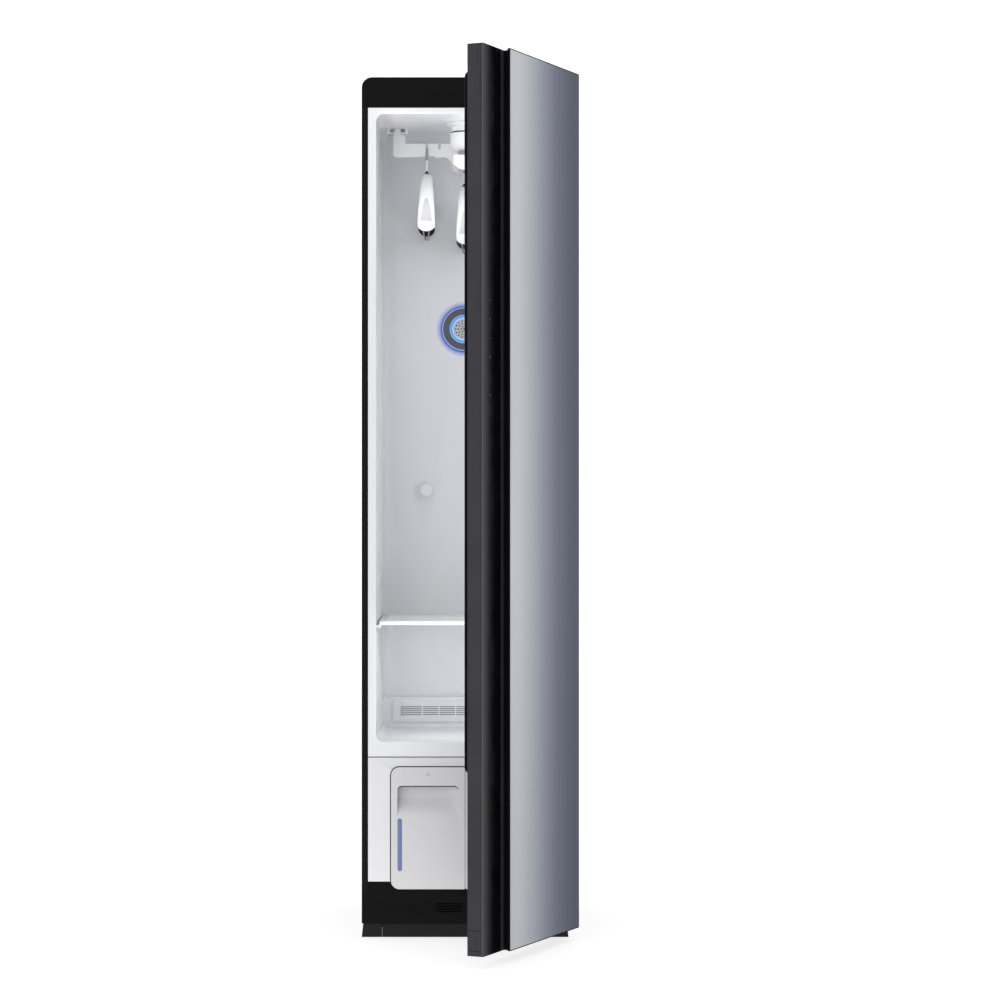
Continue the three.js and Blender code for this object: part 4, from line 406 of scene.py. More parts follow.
def refined(node, width, reshape=None):
    """A copy of a node with its flat faces made whole and its edges rounded."""
    bm = bmesh.new()
    bm.from_mesh(nodes[node].data)
    bmesh.ops.remove_doubles(bm, verts=bm.verts, dist=WELD)
    if reshape:
        for vertex in bm.verts:
            reshape(vertex.co)
    bmesh.ops.dissolve_limit(
        bm, angle_limit=FLAT, verts=bm.verts, edges=bm.edges, delimit={"NORMAL"}
    )
    if node in pierced_nodes:
        bmesh.ops.triangulate(bm, faces=bm.faces)
    piece = object_from(node + "_finish", bm)
    if width:
        rounded_edges(piece, width)
    finished(piece, nodes[node]["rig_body"], slot_of[node], node)


def strip_faces(bm, rings, closed=True, around=True):
    """Quads between rings of vertices; around joins each ring's end to its start."""
    count = len(rings[0])
    pairs = list(zip(rings, rings[1:] + rings[:1] if closed else rings[1:]))
    for first, second in pairs:
        for i in range(count if around else count - 1):
            j = (i + 1) % count
            bm.faces.new((first[i], first[j], second[j], second[i]))


def solid_faces(bm, rings):
    """Quads between rings of vertices and a face over each end."""
    strip_faces(bm, rings, closed=False)
    bm.faces.new(rings[0])
    bm.faces.new(rings[-1])


def ring_of(bm, points):
    return [bm.verts.new(point) for point in points]


def circle(radius, count, x=0, z=0):
    """Points round a circle, anticlockwise from its right."""
    turns = [2 * math.pi * i / count for i in range(count)]
    return [(x + radius * math.cos(turn), z + radius * math.sin(turn)) for turn in turns]


def turned_piece(name, profile, to_point, sides=96):
    """A closed [radius, place on the axis] profile turned about an axis."""
    bm = bmesh.new()
    strip_faces(bm, [
        ring_of(bm, [to_point(r * a, r * b, h) for r, h in profile]) for a, b in circle(1, sides)
    ])
    bmesh.ops.remove_doubles(bm, verts=bm.verts, dist=TOUCH)
    bmesh.ops.dissolve_degenerate(bm, edges=bm.edges, dist=TOUCH)
    return object_from(name, bm)


def arc_points(centre, radius, start, end, steps=6):
    """Points along an arc between two angles in degrees."""
    turns = [math.radians(lerp(start, end, i / steps)) for i in range(steps + 1)]
    return [
        (centre[0] + radius * math.cos(turn), centre[1] + radius * math.sin(turn))
        for turn in turns
    ]


def rounded_rectangle(x0, x1, z0, z1, radii, steps=6):
    """Corner by corner from the upper right, anticlockwise, with one radius or one for each."""
    if not isinstance(radii, tuple):
        radii = (radii,) * 4
    points = []
    corners = ((x1, z1, -1, -1), (x0, z1, 1, -1), (x0, z0, 1, 1), (x1, z0, -1, 1))
    for quarter, (radius, (x, z, right, up)) in enumerate(zip(radii, corners)):
        start = 90 * quarter
        centre = (x + right * radius, z + up * radius)
        points += arc_points(centre, radius, start, start + 90, steps)
    return points


def slab(name, points, to_point, low, high, edge=0.0):
    """A flat plate of an outline between two levels."""
    bm = bmesh.new()
    solid_faces(bm, [ring_of(bm, [to_point(a, b, level) for a, b in points]) for level in (low, high)])
    piece = object_from(name, bm)
    if edge:
        rounded_edges(piece, edge)
    return piece


def frame_ring(name, stations, angle=SHARP):
    """A closed ring of upright outlines, each at a level of y."""
    bm = bmesh.new()
    strip_faces(bm, [
        ring_of(bm, [upright(a, b, level) for a, b in outline]) for outline, level in stations
    ])
    return object_from(name, bm, angle)


def upright(a, b, level):
    """Flat outlines of x and z stand at a level of y."""
    return (a, level, b)


def tube(name, points, radius, sides=16):
    """A round bar along a smooth line of points."""
    bm = bmesh.new()
    rings = []
    across = Vector((1, 0, 0))
    for i, point in enumerate(points):
        ahead = points[min(i + 1, len(points) - 1)] - points[max(i - 1, 0)]
        ahead.normalize()
        side = (across - ahead * across.dot(ahead)).normalized()
        up = ahead.cross(side)
        rings.append(ring_of(bm, [point + a * side + b * up for a, b in circle(radius, sides)]))
    solid_faces(bm, rings)
    return object_from(name, bm)


# Carcass and the nodes that keep their form

# Roundings in mm
edge_widths = {
    "top_cap": 1.0, "rear_panel": 0.3, "base_pan": 0.4, "cavity_liner": 0.8, "tank_fascia": 0.6,
    "lower_grille": 0.15, "plinth": 0.8, "drive_motor": 0.8, "hanger_bar": 1.1, "shelf": 0.4,
    "lint_filter": 0, "hinge_upper": 0.5, "hinge_lower": 0.5, "compressor": 0.8,
    "blower_housing": 0.6, "blower_wheel": 0.3, "evaporator": 0.4, "condenser": 0.4,
    "steam_generator": 1.0, "water_pump": 0.8, "control_board": 0.3, "door_frame": 0.8,
    "door_inner_panel": 1.0, "mirror_carrier": 0.6,
}
paired_widths = {
    "side_panel_{}": 0.35, "foot_cap_{}": 0.9, "front_foot_{}": 0.6, "guide_bracket_{}": 0.5,
    "guide_rod_{}": 0.4, "tank_{}_front": 1.2, "tank_{}_vessel": 1.5, "tank_{}_window": 0.4,
}
for pair, width in paired_widths.items():
    for side in SIDES:
        edge_widths[pair.format(side)] = width
BAR_BACK = 204 * MM
BAR_WAIST, BAR_FOOT = 1706.5 * MM, 1676 * MM
BAR_CURVE_START, BAR_CURVE_END, BAR_CURVE_INNER = 60.5 * MM, 46 * MM, 4 * MM
BAR_FORK, BAR_HIDDEN = 29 * MM, 4.2 * MM
APRON_REACH, APRON_LEVELS = (24 * MM, 66 * MM), (204.35 * MM, 216.65 * MM)
APRON_TALL, APRON_ROUND, APRON_STEPS = 6 * MM, 0.8 * MM, 28
panel_low, panel_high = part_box("rear_panel")
SCREW_RADIUS, SCREW_HEIGHT, SCREW_SIDES = 3.6 * MM, 0.5 * MM, 24
SCREW_DOME = [(1, -0.3 * MM), (1, 0.1 * MM), (0.8, 0.38 * MM), (0.4, SCREW_HEIGHT)]
SCREW_SIDE_MARGIN, SCREW_END_MARGIN, SCREW_ROWS = 9 * MM, 14 * MM, 7


def waist_curve(across):
    """Height of the bar's lower edge, which runs down to its fork in one soft curve."""
    share = max(0, (BAR_CURVE_END - across) / (BAR_CURVE_END - BAR_CURVE_INNER))
    return lerp(BAR_WAIST, BAR_FOOT, share * share * (3 - 2 * share))


def soft_waist(place):
    """Keeps the bar's plate inside its aprons."""
    across = abs(place.x)
    on_curve = BAR_FORK < across < BAR_CURVE_START and place.z < BAR_WAIST + NEAR
    if place.y > BAR_BACK and on_curve:
        place.z = waist_curve(across) + BAR_HIDDEN


def bar_apron(side):
    """Rounded lower edge of the bar's plate from its straight part down to the fork."""
    reach = [lerp(*APRON_REACH, i / APRON_STEPS) for i in range(APRON_STEPS + 1)]
    lower = [(SIDES[side] * across, waist_curve(across)) for across in reach]
    upper = [(a, b + APRON_TALL) for a, b in reversed(lower)]
    apron = slab(f"bar_apron_{side}", lower + upper, upright, *APRON_LEVELS, APRON_ROUND)
    finished(apron, "hanger_bar", "white_plastic")


def set_back(place):
    """Leaves room for the screw heads on the rear panel's face."""
    if place.y > panel_high.y - NEAR:
        place.y -= SCREW_HEIGHT


def screw_heads():
    """Domed screw heads round the edge of the rear panel."""
    foot, head = panel_low.z + SCREW_END_MARGIN, panel_high.z - SCREW_END_MARGIN
    columns = (panel_low.x + SCREW_SIDE_MARGIN, panel_high.x - SCREW_SIDE_MARGIN)
    rows = [lerp(foot, head, i / (SCREW_ROWS - 1)) for i in range(SCREW_ROWS)]
    places = [(x, z) for z in rows for x in columns] + [(0, foot), (0, head)]
    face = panel_high.y - SCREW_HEIGHT
    bm = bmesh.new()
    for x, z in places:
        solid_faces(bm, [
            ring_of(bm, [
                (a, face + rise, b) for a, b in circle(SCREW_RADIUS * share, SCREW_SIDES, x, z)
            ])
            for share, rise in SCREW_DOME
        ])
    finished(object_from("rear_screws", bm), "carcass", "galvanised_steel", look="bright_steel")


reshapes = {"hanger_bar": soft_waist, "rear_panel": set_back}
for node, width in edge_widths.items():
    refined(node, width * MM, reshapes.get(node))
screw_heads()
for side in SIDES:
    bar_apron(side)

# Hangers, drawn level about the centre of the hook's bend

HANGER_TILT = math.radians(6)
HOOK_CENTRE_DROP = 11.23 * MM
NECK_DROP = 41.3 * MM
HALF_LENGTH = 190 * MM
NECK_WIDTH, TIP_WIDTH = 26 * MM, 40.5 * MM
NECK_TALL, TIP_TALL = 34 * MM, 52.7 * MM
SHOULDER_DROP = 80 * MM
DROOP_POWER, WIDEN_POWER, TALL_POWER = 1.6, 1.2, 1.6
CROWN_POWER, BELLY_POWER, SECTION_STEPS = 3.2, 5, 48
CROWN_SHARE = 0.88
BELLY_SAG = 8 * MM
NOSE_LENGTH = 24 * MM
NOSE_TOP, NOSE_BOTTOM, NOSE_SIDE = 20 * MM, 4 * MM, 1.2 * MM
HANGER_STATIONS = 72
INLAY_TOP, INLAY_FOOT = -97 * MM, -147.5 * MM
INLAY_WIDTH = 25.5 * MM
INLAY_PROUD, INLAY_SINK = 0.35 * MM, 0.8 * MM
INLAY_ROWS, INLAY_COLUMNS = 28, 12
CUP_HALF_WIDTH, CUP_BROW, CUP_FOOT = 17.5 * MM, -163 * MM, -181 * MM
CUP_ROOT = [(15 * MM, -160 * MM), (14 * MM, -150 * MM), (12 * MM, -136 * MM)]
CUP_NEAR, CUP_FAR, CUP_ROUND, CUP_STEPS = 159 * MM, 187 * MM, 1.2 * MM, 32
RAIL_TOP, RAIL_FOOT = -168 * MM, -190.5 * MM
RAIL_HALF_TOP, RAIL_HALF_FOOT, RAIL_LEG = 8.4 * MM, 3.3 * MM, 3 * MM
RAIL_FOOT_WALL, RAIL_ROUND = 1.2 * MM, 0.4 * MM
RAIL_END = 188.6 * MM
WIRE = 2 * MM
HOOK_RADIUS = 15 * MM
HOOK_TURN = (math.radians(230), math.radians(-25))
HOOK_STEPS = 48
HOOK_SEAT, HOOK_STEM = 14 * MM, 9 * MM
HOOK_LEAD_STEPS = 10
HOOK_LEAD_PULL = 22 * MM
COLLAR_SIDES = 32
COLLAR_PROFILE = [
    (WIRE, -1 * MM), (7.4 * MM, -1 * MM), (7 * MM, 0.4 * MM), (3 * MM, 1.2 * MM),
    (2.6 * MM, 5 * MM), (WIRE, 5.4 * MM),
]
SLEEVE_TURN = (math.radians(226), math.radians(118))
SLEEVE_HALF_WIDTHS = (3.4 * MM, 2.1 * MM)
SLEEVE_HALF_THICKNESS, SLEEVE_SIDES = 2.35 * MM, 20
cup_looks = {"left": "dark_rubber", "centre": "navy_rubber"}


def on_hanger(piece, place, slot, node=None, look=None):
    """Turns a piece shaped on a level hanger to where it hangs and finishes it."""
    centre = Vector(joints[f"hanger_{place}_swing"]["pos_m"]) - Vector((0, 0, HOOK_CENTRE_DROP))
    piece.data.transform(Matrix.Translation(centre) @ Matrix.Rotation(HANGER_TILT, 4, "X"))
    finished(piece, f"hanger_{place}", slot, node, look)


def hanger_section(t):
    """Width, top and bottom below the neck of the shoulder form at a share of its half length."""
    share = abs(t)
    top = -SHOULDER_DROP * share ** DROOP_POWER
    bottom = top - lerp(NECK_TALL, TIP_TALL, share ** TALL_POWER)
    width = lerp(NECK_WIDTH, TIP_WIDTH, share ** WIDEN_POWER)
    nose = max(0, 1 - (1 - share) * HALF_LENGTH / NOSE_LENGTH)
    curl = 1 - math.sqrt(max(0, 1 - nose * nose))
    return width - 2 * NOSE_SIDE * curl, top - NOSE_TOP * curl, bottom + NOSE_BOTTOM * curl


def nose_stations(count):
    """Places from one tip to the other, closer together where the nose curves."""
    return [math.sin(math.pi / 2 * (2 * i / (count - 1) - 1)) for i in range(count)]


def soft_power(value, power):
    """One coordinate of a superellipse of a power from a sine or a cosine."""
    return math.copysign(abs(value) ** (2 / power), value)


def hanger_body(place):
    """Softly squared shoulder form, narrower at its crown; gives its surface for the inlays."""
    bm = bmesh.new()
    rings = []
    for t in nose_stations(HANGER_STATIONS):
        width, top, bottom = hanger_section(t)
        ring = []
        for cosine, sine in circle(1, SECTION_STEPS):
            power = CROWN_POWER if sine > 0 else BELLY_POWER
            height = (soft_power(sine, power) + 1) / 2
            across = soft_power(cosine, power)
            sag = BELLY_SAG * across * across * (1 - height)
            ring.append((
                width / 2 * lerp(1, CROWN_SHARE, height) * across, t * HALF_LENGTH,
                lerp(bottom, top, height) + sag - NECK_DROP,
            ))
        rings.append(ring_of(bm, ring))
    solid_faces(bm, rings)
    surface = BVHTree.FromBMesh(bm)
    node = f"hanger_{place}_body"
    # The body takes a lighter copy of the white plastic: painted light on the hangers.
    on_hanger(object_from(node + "_finish", bm), place, "white_plastic", node, "hanger_white")
    return surface


def hanger_inlay(place, end, surface):
    """Grey arch-shaped panel that lies on the shoulder and runs over its nose."""
    side = ENDS[end]
    bm = bmesh.new()
    sheets = []
    for lift in (INLAY_PROUD, -INLAY_SINK):
        rows = []
        for i in range(1, INLAY_ROWS + 1):
            share = i / INLAY_ROWS
            z = lerp(INLAY_TOP, INLAY_FOOT, share * share)
            row = []
            for j in range(INLAY_COLUMNS + 1):
                x = INLAY_WIDTH * share * (j / INLAY_COLUMNS - 0.5)
                start = Vector((x, side * 2 * HALF_LENGTH, z))
                touch = surface.ray_cast(start, Vector((0, -side, 0)))[0]
                row.append(touch + Vector((0, side * lift, 0)))
            rows.append(ring_of(bm, row))
        strip_faces(bm, rows, closed=False, around=False)
        right = [row[-1] for row in rows[1:-1]]
        left = [row[0] for row in rows[-2:0:-1]]
        sheets.append(rows[0] + right + rows[-1][::-1] + left)
    strip_faces(bm, sheets, closed=False)
    inlay = object_from(f"hanger_{place}_inlay_{end}", bm)
    on_hanger(inlay, place, "white_plastic", look="inlay_grey")


def hanger_cup(place, end):
    """Rubber cup under the nose: a root inside the shoulder form and a softly rounded foot."""
    turns = [-math.pi * i / CUP_STEPS for i in range(CUP_STEPS + 1)]
    foot = [
        (CUP_HALF_WIDTH * math.cos(turn), CUP_BROW + (CUP_BROW - CUP_FOOT) * math.sin(turn))
        for turn in turns
    ]
    outline = CUP_ROOT[::-1] + foot + [(-a, b) for a, b in CUP_ROOT]
    node = f"hanger_{place}_cap_{end}"
    cup = slab(
        node + "_finish", outline, lambda a, b, level: (a, ENDS[end] * level, b),
        CUP_NEAR, CUP_FAR, CUP_ROUND,
    )
    on_hanger(cup, place, "dark_rubber", node, cup_looks[place])


def trouser_rail(place):
    """Steel channel with slanted legs from one cup to the other."""
    half = [
        (RAIL_HALF_FOOT, RAIL_FOOT), (RAIL_HALF_TOP, RAIL_TOP),
        (RAIL_HALF_TOP - RAIL_LEG, RAIL_TOP),
        (RAIL_HALF_FOOT - RAIL_FOOT_WALL, RAIL_FOOT + RAIL_LEG),
    ]
    outline = half + [(-a, b) for a, b in reversed(half)]
    node = f"hanger_{place}_trouser_bar"
    rail = slab(node + "_finish", outline, upright, -RAIL_END, RAIL_END, RAIL_ROUND)
    on_hanger(rail, place, "bright_steel", node, "rail_grey")


def hanger_hook(place):
    """Steel wire out of the neck, bent round over the bar, with a rubber collar at its foot."""
    turns = [lerp(*HOOK_TURN, i / HOOK_STEPS) for i in range(HOOK_STEPS + 1)]
    bend = [Vector((0, HOOK_RADIUS * math.cos(a), HOOK_RADIUS * math.sin(a))) for a in turns]
    foot = Vector((0, 0, HOOK_STEM - NECK_DROP))
    up = Vector((0, 0, HOOK_LEAD_PULL))
    into = Vector((0, math.sin(HOOK_TURN[0]), -math.cos(HOOK_TURN[0]))) * HOOK_LEAD_PULL
    lead = []
    for i in range(1, HOOK_LEAD_STEPS):
        s = i / HOOK_LEAD_STEPS
        lead.append(
            foot * (2 * s ** 3 - 3 * s ** 2 + 1) + up * (s ** 3 - 2 * s ** 2 + s)
            + bend[0] * (3 * s ** 2 - 2 * s ** 3) + into * (s ** 3 - s ** 2)
        )
    root = Vector((0, 0, -HOOK_SEAT - NECK_DROP))
    neck = Vector((0, 0, -NECK_DROP))
    node = f"hanger_{place}_hook"
    wire = tube(node + "_finish", [root, neck, foot, *lead, *bend], WIRE)
    on_hanger(wire, place, "bright_steel", node, "wire_steel")
    collar = turned_piece(
        f"hanger_{place}_collar", COLLAR_PROFILE, lambda a, b, h: (a, b, h - NECK_DROP), COLLAR_SIDES,
    )
    on_hanger(collar, place, "dark_rubber")


def hook_sleeve(place):
    """Grey guard round the front of the hook that narrows towards its top."""
    bm = bmesh.new()
    rings = []
    for i in range(HOOK_STEPS + 1):
        share = i / HOOK_STEPS
        turn = lerp(*SLEEVE_TURN, share)
        out = Vector((0, math.cos(turn), math.sin(turn)))
        half = lerp(*SLEEVE_HALF_WIDTHS, share)
        rings.append(ring_of(bm, [
            out * (HOOK_RADIUS + SLEEVE_HALF_THICKNESS * b) + Vector((half * a, 0, 0))
            for a, b in circle(1, SLEEVE_SIDES)
        ]))
    solid_faces(bm, rings)
    sleeve = object_from(f"hanger_{place}_sleeve", bm)
    on_hanger(sleeve, place, "bright_steel", look="sleeve_grey")


for place in cup_looks:
    surface = hanger_body(place)
    for end in ENDS:
        hanger_inlay(place, end, surface)
        hanger_cup(place, end)
    trouser_rail(place)
    hanger_hook(place)
    hook_sleeve(place)

# Hub over the bar

hub_axis = Vector(joints["crank_turn"]["pos_m"])
HUB_SIDES, PIN_SIDES = 120, 64
EDGE_ROUND = 1.6 * MM
HUB_EDGE, HUB_FLARE = 3.5 * MM, 6 * MM
FLARE_STEPS, FLARE_OUT_POWER, FLARE_UP_POWER = 12, 2.2, 1.3
HUB_NECK_RADIUS = 30 * MM
BOWL_ROUND = 22 * MM
BOWL_STEPS = 24
SHAFT_RADIUS, SHAFT_BORE = 7 * MM, 8 * MM
PIN_RADIUS, PIN_OFFSET, PIN_RISE = 13 * MM, 18 * MM, 2 * MM
BOWL_GAP, BOWL_DEPTH = 3 * MM, 43.5 * MM
GAP_RING_RADIUS, GAP_RING_CLEAR = 29 * MM, 0.3 * MM


def hub_point(a, b, h):
    """A profile's height above the floor, turned about the crank's axis."""
    return (hub_axis.x + a, hub_axis.y + b, h)


def hub_flange():
    """Ceiling rose with a soft edge and a flared neck."""
    low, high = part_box("hub_flange")
    radius = (high.x - low.x) / 2
    soft = EDGE_ROUND
    flare = []
    for i in range(FLARE_STEPS + 1):
        share = i / FLARE_STEPS
        flare.append((
            lerp(HUB_NECK_RADIUS, radius - soft, share ** FLARE_OUT_POWER),
            high.z - HUB_EDGE - HUB_FLARE * (1 - share ** FLARE_UP_POWER),
        ))
    profile = [
        (SHAFT_BORE, low.z),
        *arc_points((HUB_NECK_RADIUS - soft, low.z + soft), soft, -90, 0),
        *flare,
        *arc_points((radius - soft, high.z - HUB_EDGE + soft), soft, -80, 0),
        (radius, high.z), (SHAFT_BORE, high.z),
    ]
    rose = turned_piece("hub_rose", profile, hub_point, HUB_SIDES)
    finished(rose, "carcass", "white_plastic", "hub_flange")


def crank_bowl():
    """Round-bottomed bowl with its shaft above and its driving pin below."""
    low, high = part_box("crank_hub")
    radius = (high.x - low.x) / 2
    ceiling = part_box("hub_flange")[0].z
    top = ceiling - BOWL_GAP
    bottom = top - BOWL_DEPTH
    soft = EDGE_ROUND
    bowl_corner = (radius - BOWL_ROUND, bottom + BOWL_ROUND)
    profile = [
        (0, bottom), *arc_points(bowl_corner, BOWL_ROUND, -90, 0, BOWL_STEPS),
        *arc_points((radius - soft, top - soft), soft, 0, 90),
        (SHAFT_RADIUS, top), (SHAFT_RADIUS, high.z), (0, high.z),
    ]
    bowl = turned_piece("crank_bowl", profile, hub_point, HUB_SIDES)
    finished(bowl, "crank", "white_plastic", "crank_hub")
    # A near-black ring fills the gap between the bowl and the rose: painted shade in that gap.
    ring_foot, ring_head = top, ceiling - GAP_RING_CLEAR
    ring = turned_piece(
        "crank_gap_shade",
        [(SHAFT_BORE, ring_foot), (GAP_RING_RADIUS, ring_foot), (GAP_RING_RADIUS, ring_head),
         (SHAFT_BORE, ring_head)],
        hub_point,
    )
    finished(ring, "crank", "white_plastic", look="shadow_black")
    pin_profile = [
        (0, low.z), *arc_points((PIN_RADIUS - soft, low.z + soft), soft, -90, 0),
        (PIN_RADIUS, bottom + PIN_RISE), (0, bottom + PIN_RISE),
    ]
    pin = turned_piece(
        "crank_pin", pin_profile, lambda a, b, h: hub_point(a, b - PIN_OFFSET, h), PIN_SIDES,
    )
    finished(pin, "crank", "white_plastic", look="pin_grey")


hub_flange()
crank_bowl()

# Pegs on the back wall

PEG_NECK, PEG_FOOT = 9 * MM, 2 * MM
PEG_HEAD, PEG_ROUND, PEG_BACK_ROUND = 8 * MM, 3 * MM, 1.5 * MM
PEG_SIDES, PEG_ROUND_STEPS = 64, 8


def peg(side):
    """Round-headed peg with a fillet at its foot."""
    node = f"peg_{side}"
    low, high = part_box(node)
    middle = (low + high) / 2
    radius = (high.x - low.x) / 2
    length = high.y - low.y
    back = length - PEG_HEAD
    profile = [
        (0, 0), *arc_points((PEG_NECK + PEG_FOOT, PEG_FOOT), PEG_FOOT, 270, 180), (PEG_NECK, back),
        *arc_points((radius - PEG_BACK_ROUND, back + PEG_BACK_ROUND), PEG_BACK_ROUND, -90, 0),
        *arc_points((radius - PEG_ROUND, length - PEG_ROUND), PEG_ROUND, 0, 90, PEG_ROUND_STEPS),
        (0, length),
    ]
    piece = turned_piece(
        node + "_finish", profile,
        lambda a, b, h: (middle.x + a, high.y - h, middle.z + b), PEG_SIDES,
    )
    finished(piece, "carcass", "white_liner", node)


for side in SIDES:
    peg(side)

# Signs of the tanks, and painted shade in the gaps round them and under their scoops' lips

DROP_HEIGHT, DROP_STROKE = 10.5 * MM, 1.17 * MM
DROP_RISE, DROP_PROUD = 8.6 * MM, 0.06 * MM
DROP_ROUND, DROP_ARC, DROP_ARC_STEPS = 0.33, (150, 390), 32
DROP_SIDE_STEPS, DROP_SIDE_POWER = 10, 1.4
TANK_CORNER, TANK_INNER_CORNER, TANK_CORNER_STEPS = 18 * MM, 3 * MM, 10
# Reach, proudness and depth of the near-black lines that paint the shade in the gaps round the tank
# fronts and mark the fascia's top seam
DARK_LINE_NEAR, DARK_LINE_FAR = 0.05 * MM, 2.2 * MM
DARK_LINE_PROUD, DARK_LINE_DEPTH = 0.05 * MM, 2 * MM
SCOOP_DROP, SCOOP_INSET, SCOOP_CORNER, SCOOP_STEPS = 40.2 * MM, 14 * MM, 9 * MM, 8
SCOOP_LINE, SCOOP_LINE_SIDE, SCOOP_LINE_FALL = 2 * MM, 2 / 3 * MM, 12 * MM
SCOOP_LINE_NEAR, SCOOP_LINE_FAR = 0.4 * MM, 3 * MM
fascia_low, fascia_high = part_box("tank_fascia")


def drop_outline(height, x, z):
    """A water drop: a round foot that runs up to a point."""
    r = height * DROP_ROUND
    foot = arc_points((0, 0), r, *DROP_ARC, DROP_ARC_STEPS)
    tip = height - r
    side = []
    for i in range(1, DROP_SIDE_STEPS):
        s = i / DROP_SIDE_STEPS
        side.append((foot[-1][0] * (1 - s) ** DROP_SIDE_POWER, lerp(foot[-1][1], tip, s)))
    points = foot + side + [(0, tip)] + [(-a, b) for a, b in reversed(side)]
    return [(x + a, z - height / 2 + r + b) for a, b in points]


def tank_sign(side):
    """Printed ring in the shape of a drop near the tank's upper edge."""
    low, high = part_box(f"tank_{side}_front")
    middle = ((low.x + high.x) / 2, high.z - DROP_RISE - DROP_HEIGHT / 2)
    outer = drop_outline(DROP_HEIGHT, *middle)
    inner = drop_outline(DROP_HEIGHT - 2 * DROP_STROKE, *middle)
    near, far = low.y - DROP_PROUD, low.y + DROP_PROUD
    sign = frame_ring(
        f"tank_{side}_sign", [(outer, far), (outer, near), (inner, near), (inner, far)],
    )
    finished(sign, f"tank_{side}", "tank_grey", look="print_grey")


def tank_outline(side, grow):
    """The tank front's outline, grown all round, with its large corners away from the middle."""
    low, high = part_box(f"tank_{side}_front")
    outer, inner = TANK_CORNER + grow, TANK_INNER_CORNER + grow
    left, right = (inner, outer) if side == "right" else (outer, inner)
    return rounded_rectangle(
        low.x - grow, high.x + grow, low.z - grow, high.z + grow, (right, left, left, right),
        TANK_CORNER_STEPS,
    )


def tank_seal(side):
    """Painted shade: a thin near-black ring in the gap between a tank's front and its frame."""
    outer, inner = tank_outline(side, DARK_LINE_FAR), tank_outline(side, DARK_LINE_NEAR)
    near = fascia_low.y - DARK_LINE_PROUD
    far = near + DARK_LINE_DEPTH
    seal = frame_ring(
        f"tank_{side}_seal", [(outer, far), (outer, near), (inner, near), (inner, far)],
    )
    finished(seal, "carcass", "gasket_rubber", look="shadow_black")


def scoop_line(side):
    """Painted shadow under the scoop's upper lip: a dark band that thins out down its corners."""
    low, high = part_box(f"tank_{side}_front")
    x0, x1 = low.x + SCOOP_INSET, high.x - SCOOP_INSET
    top = high.z - SCOOP_DROP
    foot = top - SCOOP_LINE_FALL
    corner = (x1 - SCOOP_CORNER, top - SCOOP_CORNER)
    outline = [(x1, foot), *arc_points(corner, SCOOP_CORNER, 0, 90, SCOOP_STEPS)]
    outline += [(x0 + x1 - a, b) for a, b in reversed(outline)]
    inner = []
    for a, b in outline:
        share = (b - foot) / SCOOP_LINE_FALL
        inward = SCOOP_LINE_SIDE if 2 * a < x0 + x1 else -SCOOP_LINE_SIDE
        inner.append((a + share * inward, b - share * SCOOP_LINE))
    bm = bmesh.new()
    near, far = low.y + SCOOP_LINE_NEAR, low.y + SCOOP_LINE_FAR
    strip_faces(bm, [
        ring_of(bm, [upright(a, b, level) for a, b in points])
        for points, level in ((outline, near), (outline, far), (inner, far), (inner, near))
    ], around=False)
    line = object_from(f"tank_{side}_scoop_line", bm)
    finished(line, f"tank_{side}", "tank_grey", look="shadow_black")


for side in SIDES:
    tank_sign(side)
    tank_seal(side)
    scoop_line(side)

# Plates behind slots and in seams: a dark joint line at the fascia's top, the filter's grey mesh, and a
# dark plate that paints the shade behind the grille's slots

SEAM_HALF, SEAM_CORNER, SEAM_STEPS = 1 * MM, 0.9 * MM, 3
PLATE_CORNER = 2 * MM
MESH_HALF, MESH_FOOT, MESH_HEAD = 143 * MM, 436 * MM, 478 * MM
MESH_SETBACK, MESH_THICKNESS = 1 * MM, 0.6 * MM
SHADE_HALF, SHADE_FOOT, SHADE_HEAD = 205 * MM, 45 * MM, 90 * MM
SHADE_GAP, SHADE_THICKNESS = 0.4 * MM, 0.4 * MM
seam_outline = rounded_rectangle(
    fascia_low.x, fascia_high.x, fascia_high.z - SEAM_HALF, fascia_high.z + SEAM_HALF,
    SEAM_CORNER, SEAM_STEPS,
)
mesh_outline = rounded_rectangle(-MESH_HALF, MESH_HALF, MESH_FOOT, MESH_HEAD, PLATE_CORNER)
shade_outline = rounded_rectangle(-SHADE_HALF, SHADE_HALF, SHADE_FOOT, SHADE_HEAD, PLATE_CORNER)
mesh_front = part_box("lint_filter")[0].y + MESH_SETBACK
shade_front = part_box("lower_grille")[1].y + SHADE_GAP
for name, outline, near, far, body, slot, look in (
    ("fascia_seam", seam_outline, fascia_low.y - DARK_LINE_PROUD, fascia_low.y + DARK_LINE_DEPTH,
     "carcass", "gasket_rubber", "shadow_black"),
    ("filter_mesh", mesh_outline, mesh_front, mesh_front + MESH_THICKNESS,
     "lint_filter", "white_plastic", "mesh_grey"),
    ("grille_shade", shade_outline, shade_front, shade_front + SHADE_THICKNESS,
     "carcass", "black_trim", "shadow_black"),
):
    finished(slab(name, outline, upright, near, far), body, slot, look=look)

# Round lamp; profiles in mm from a rim and from the wall

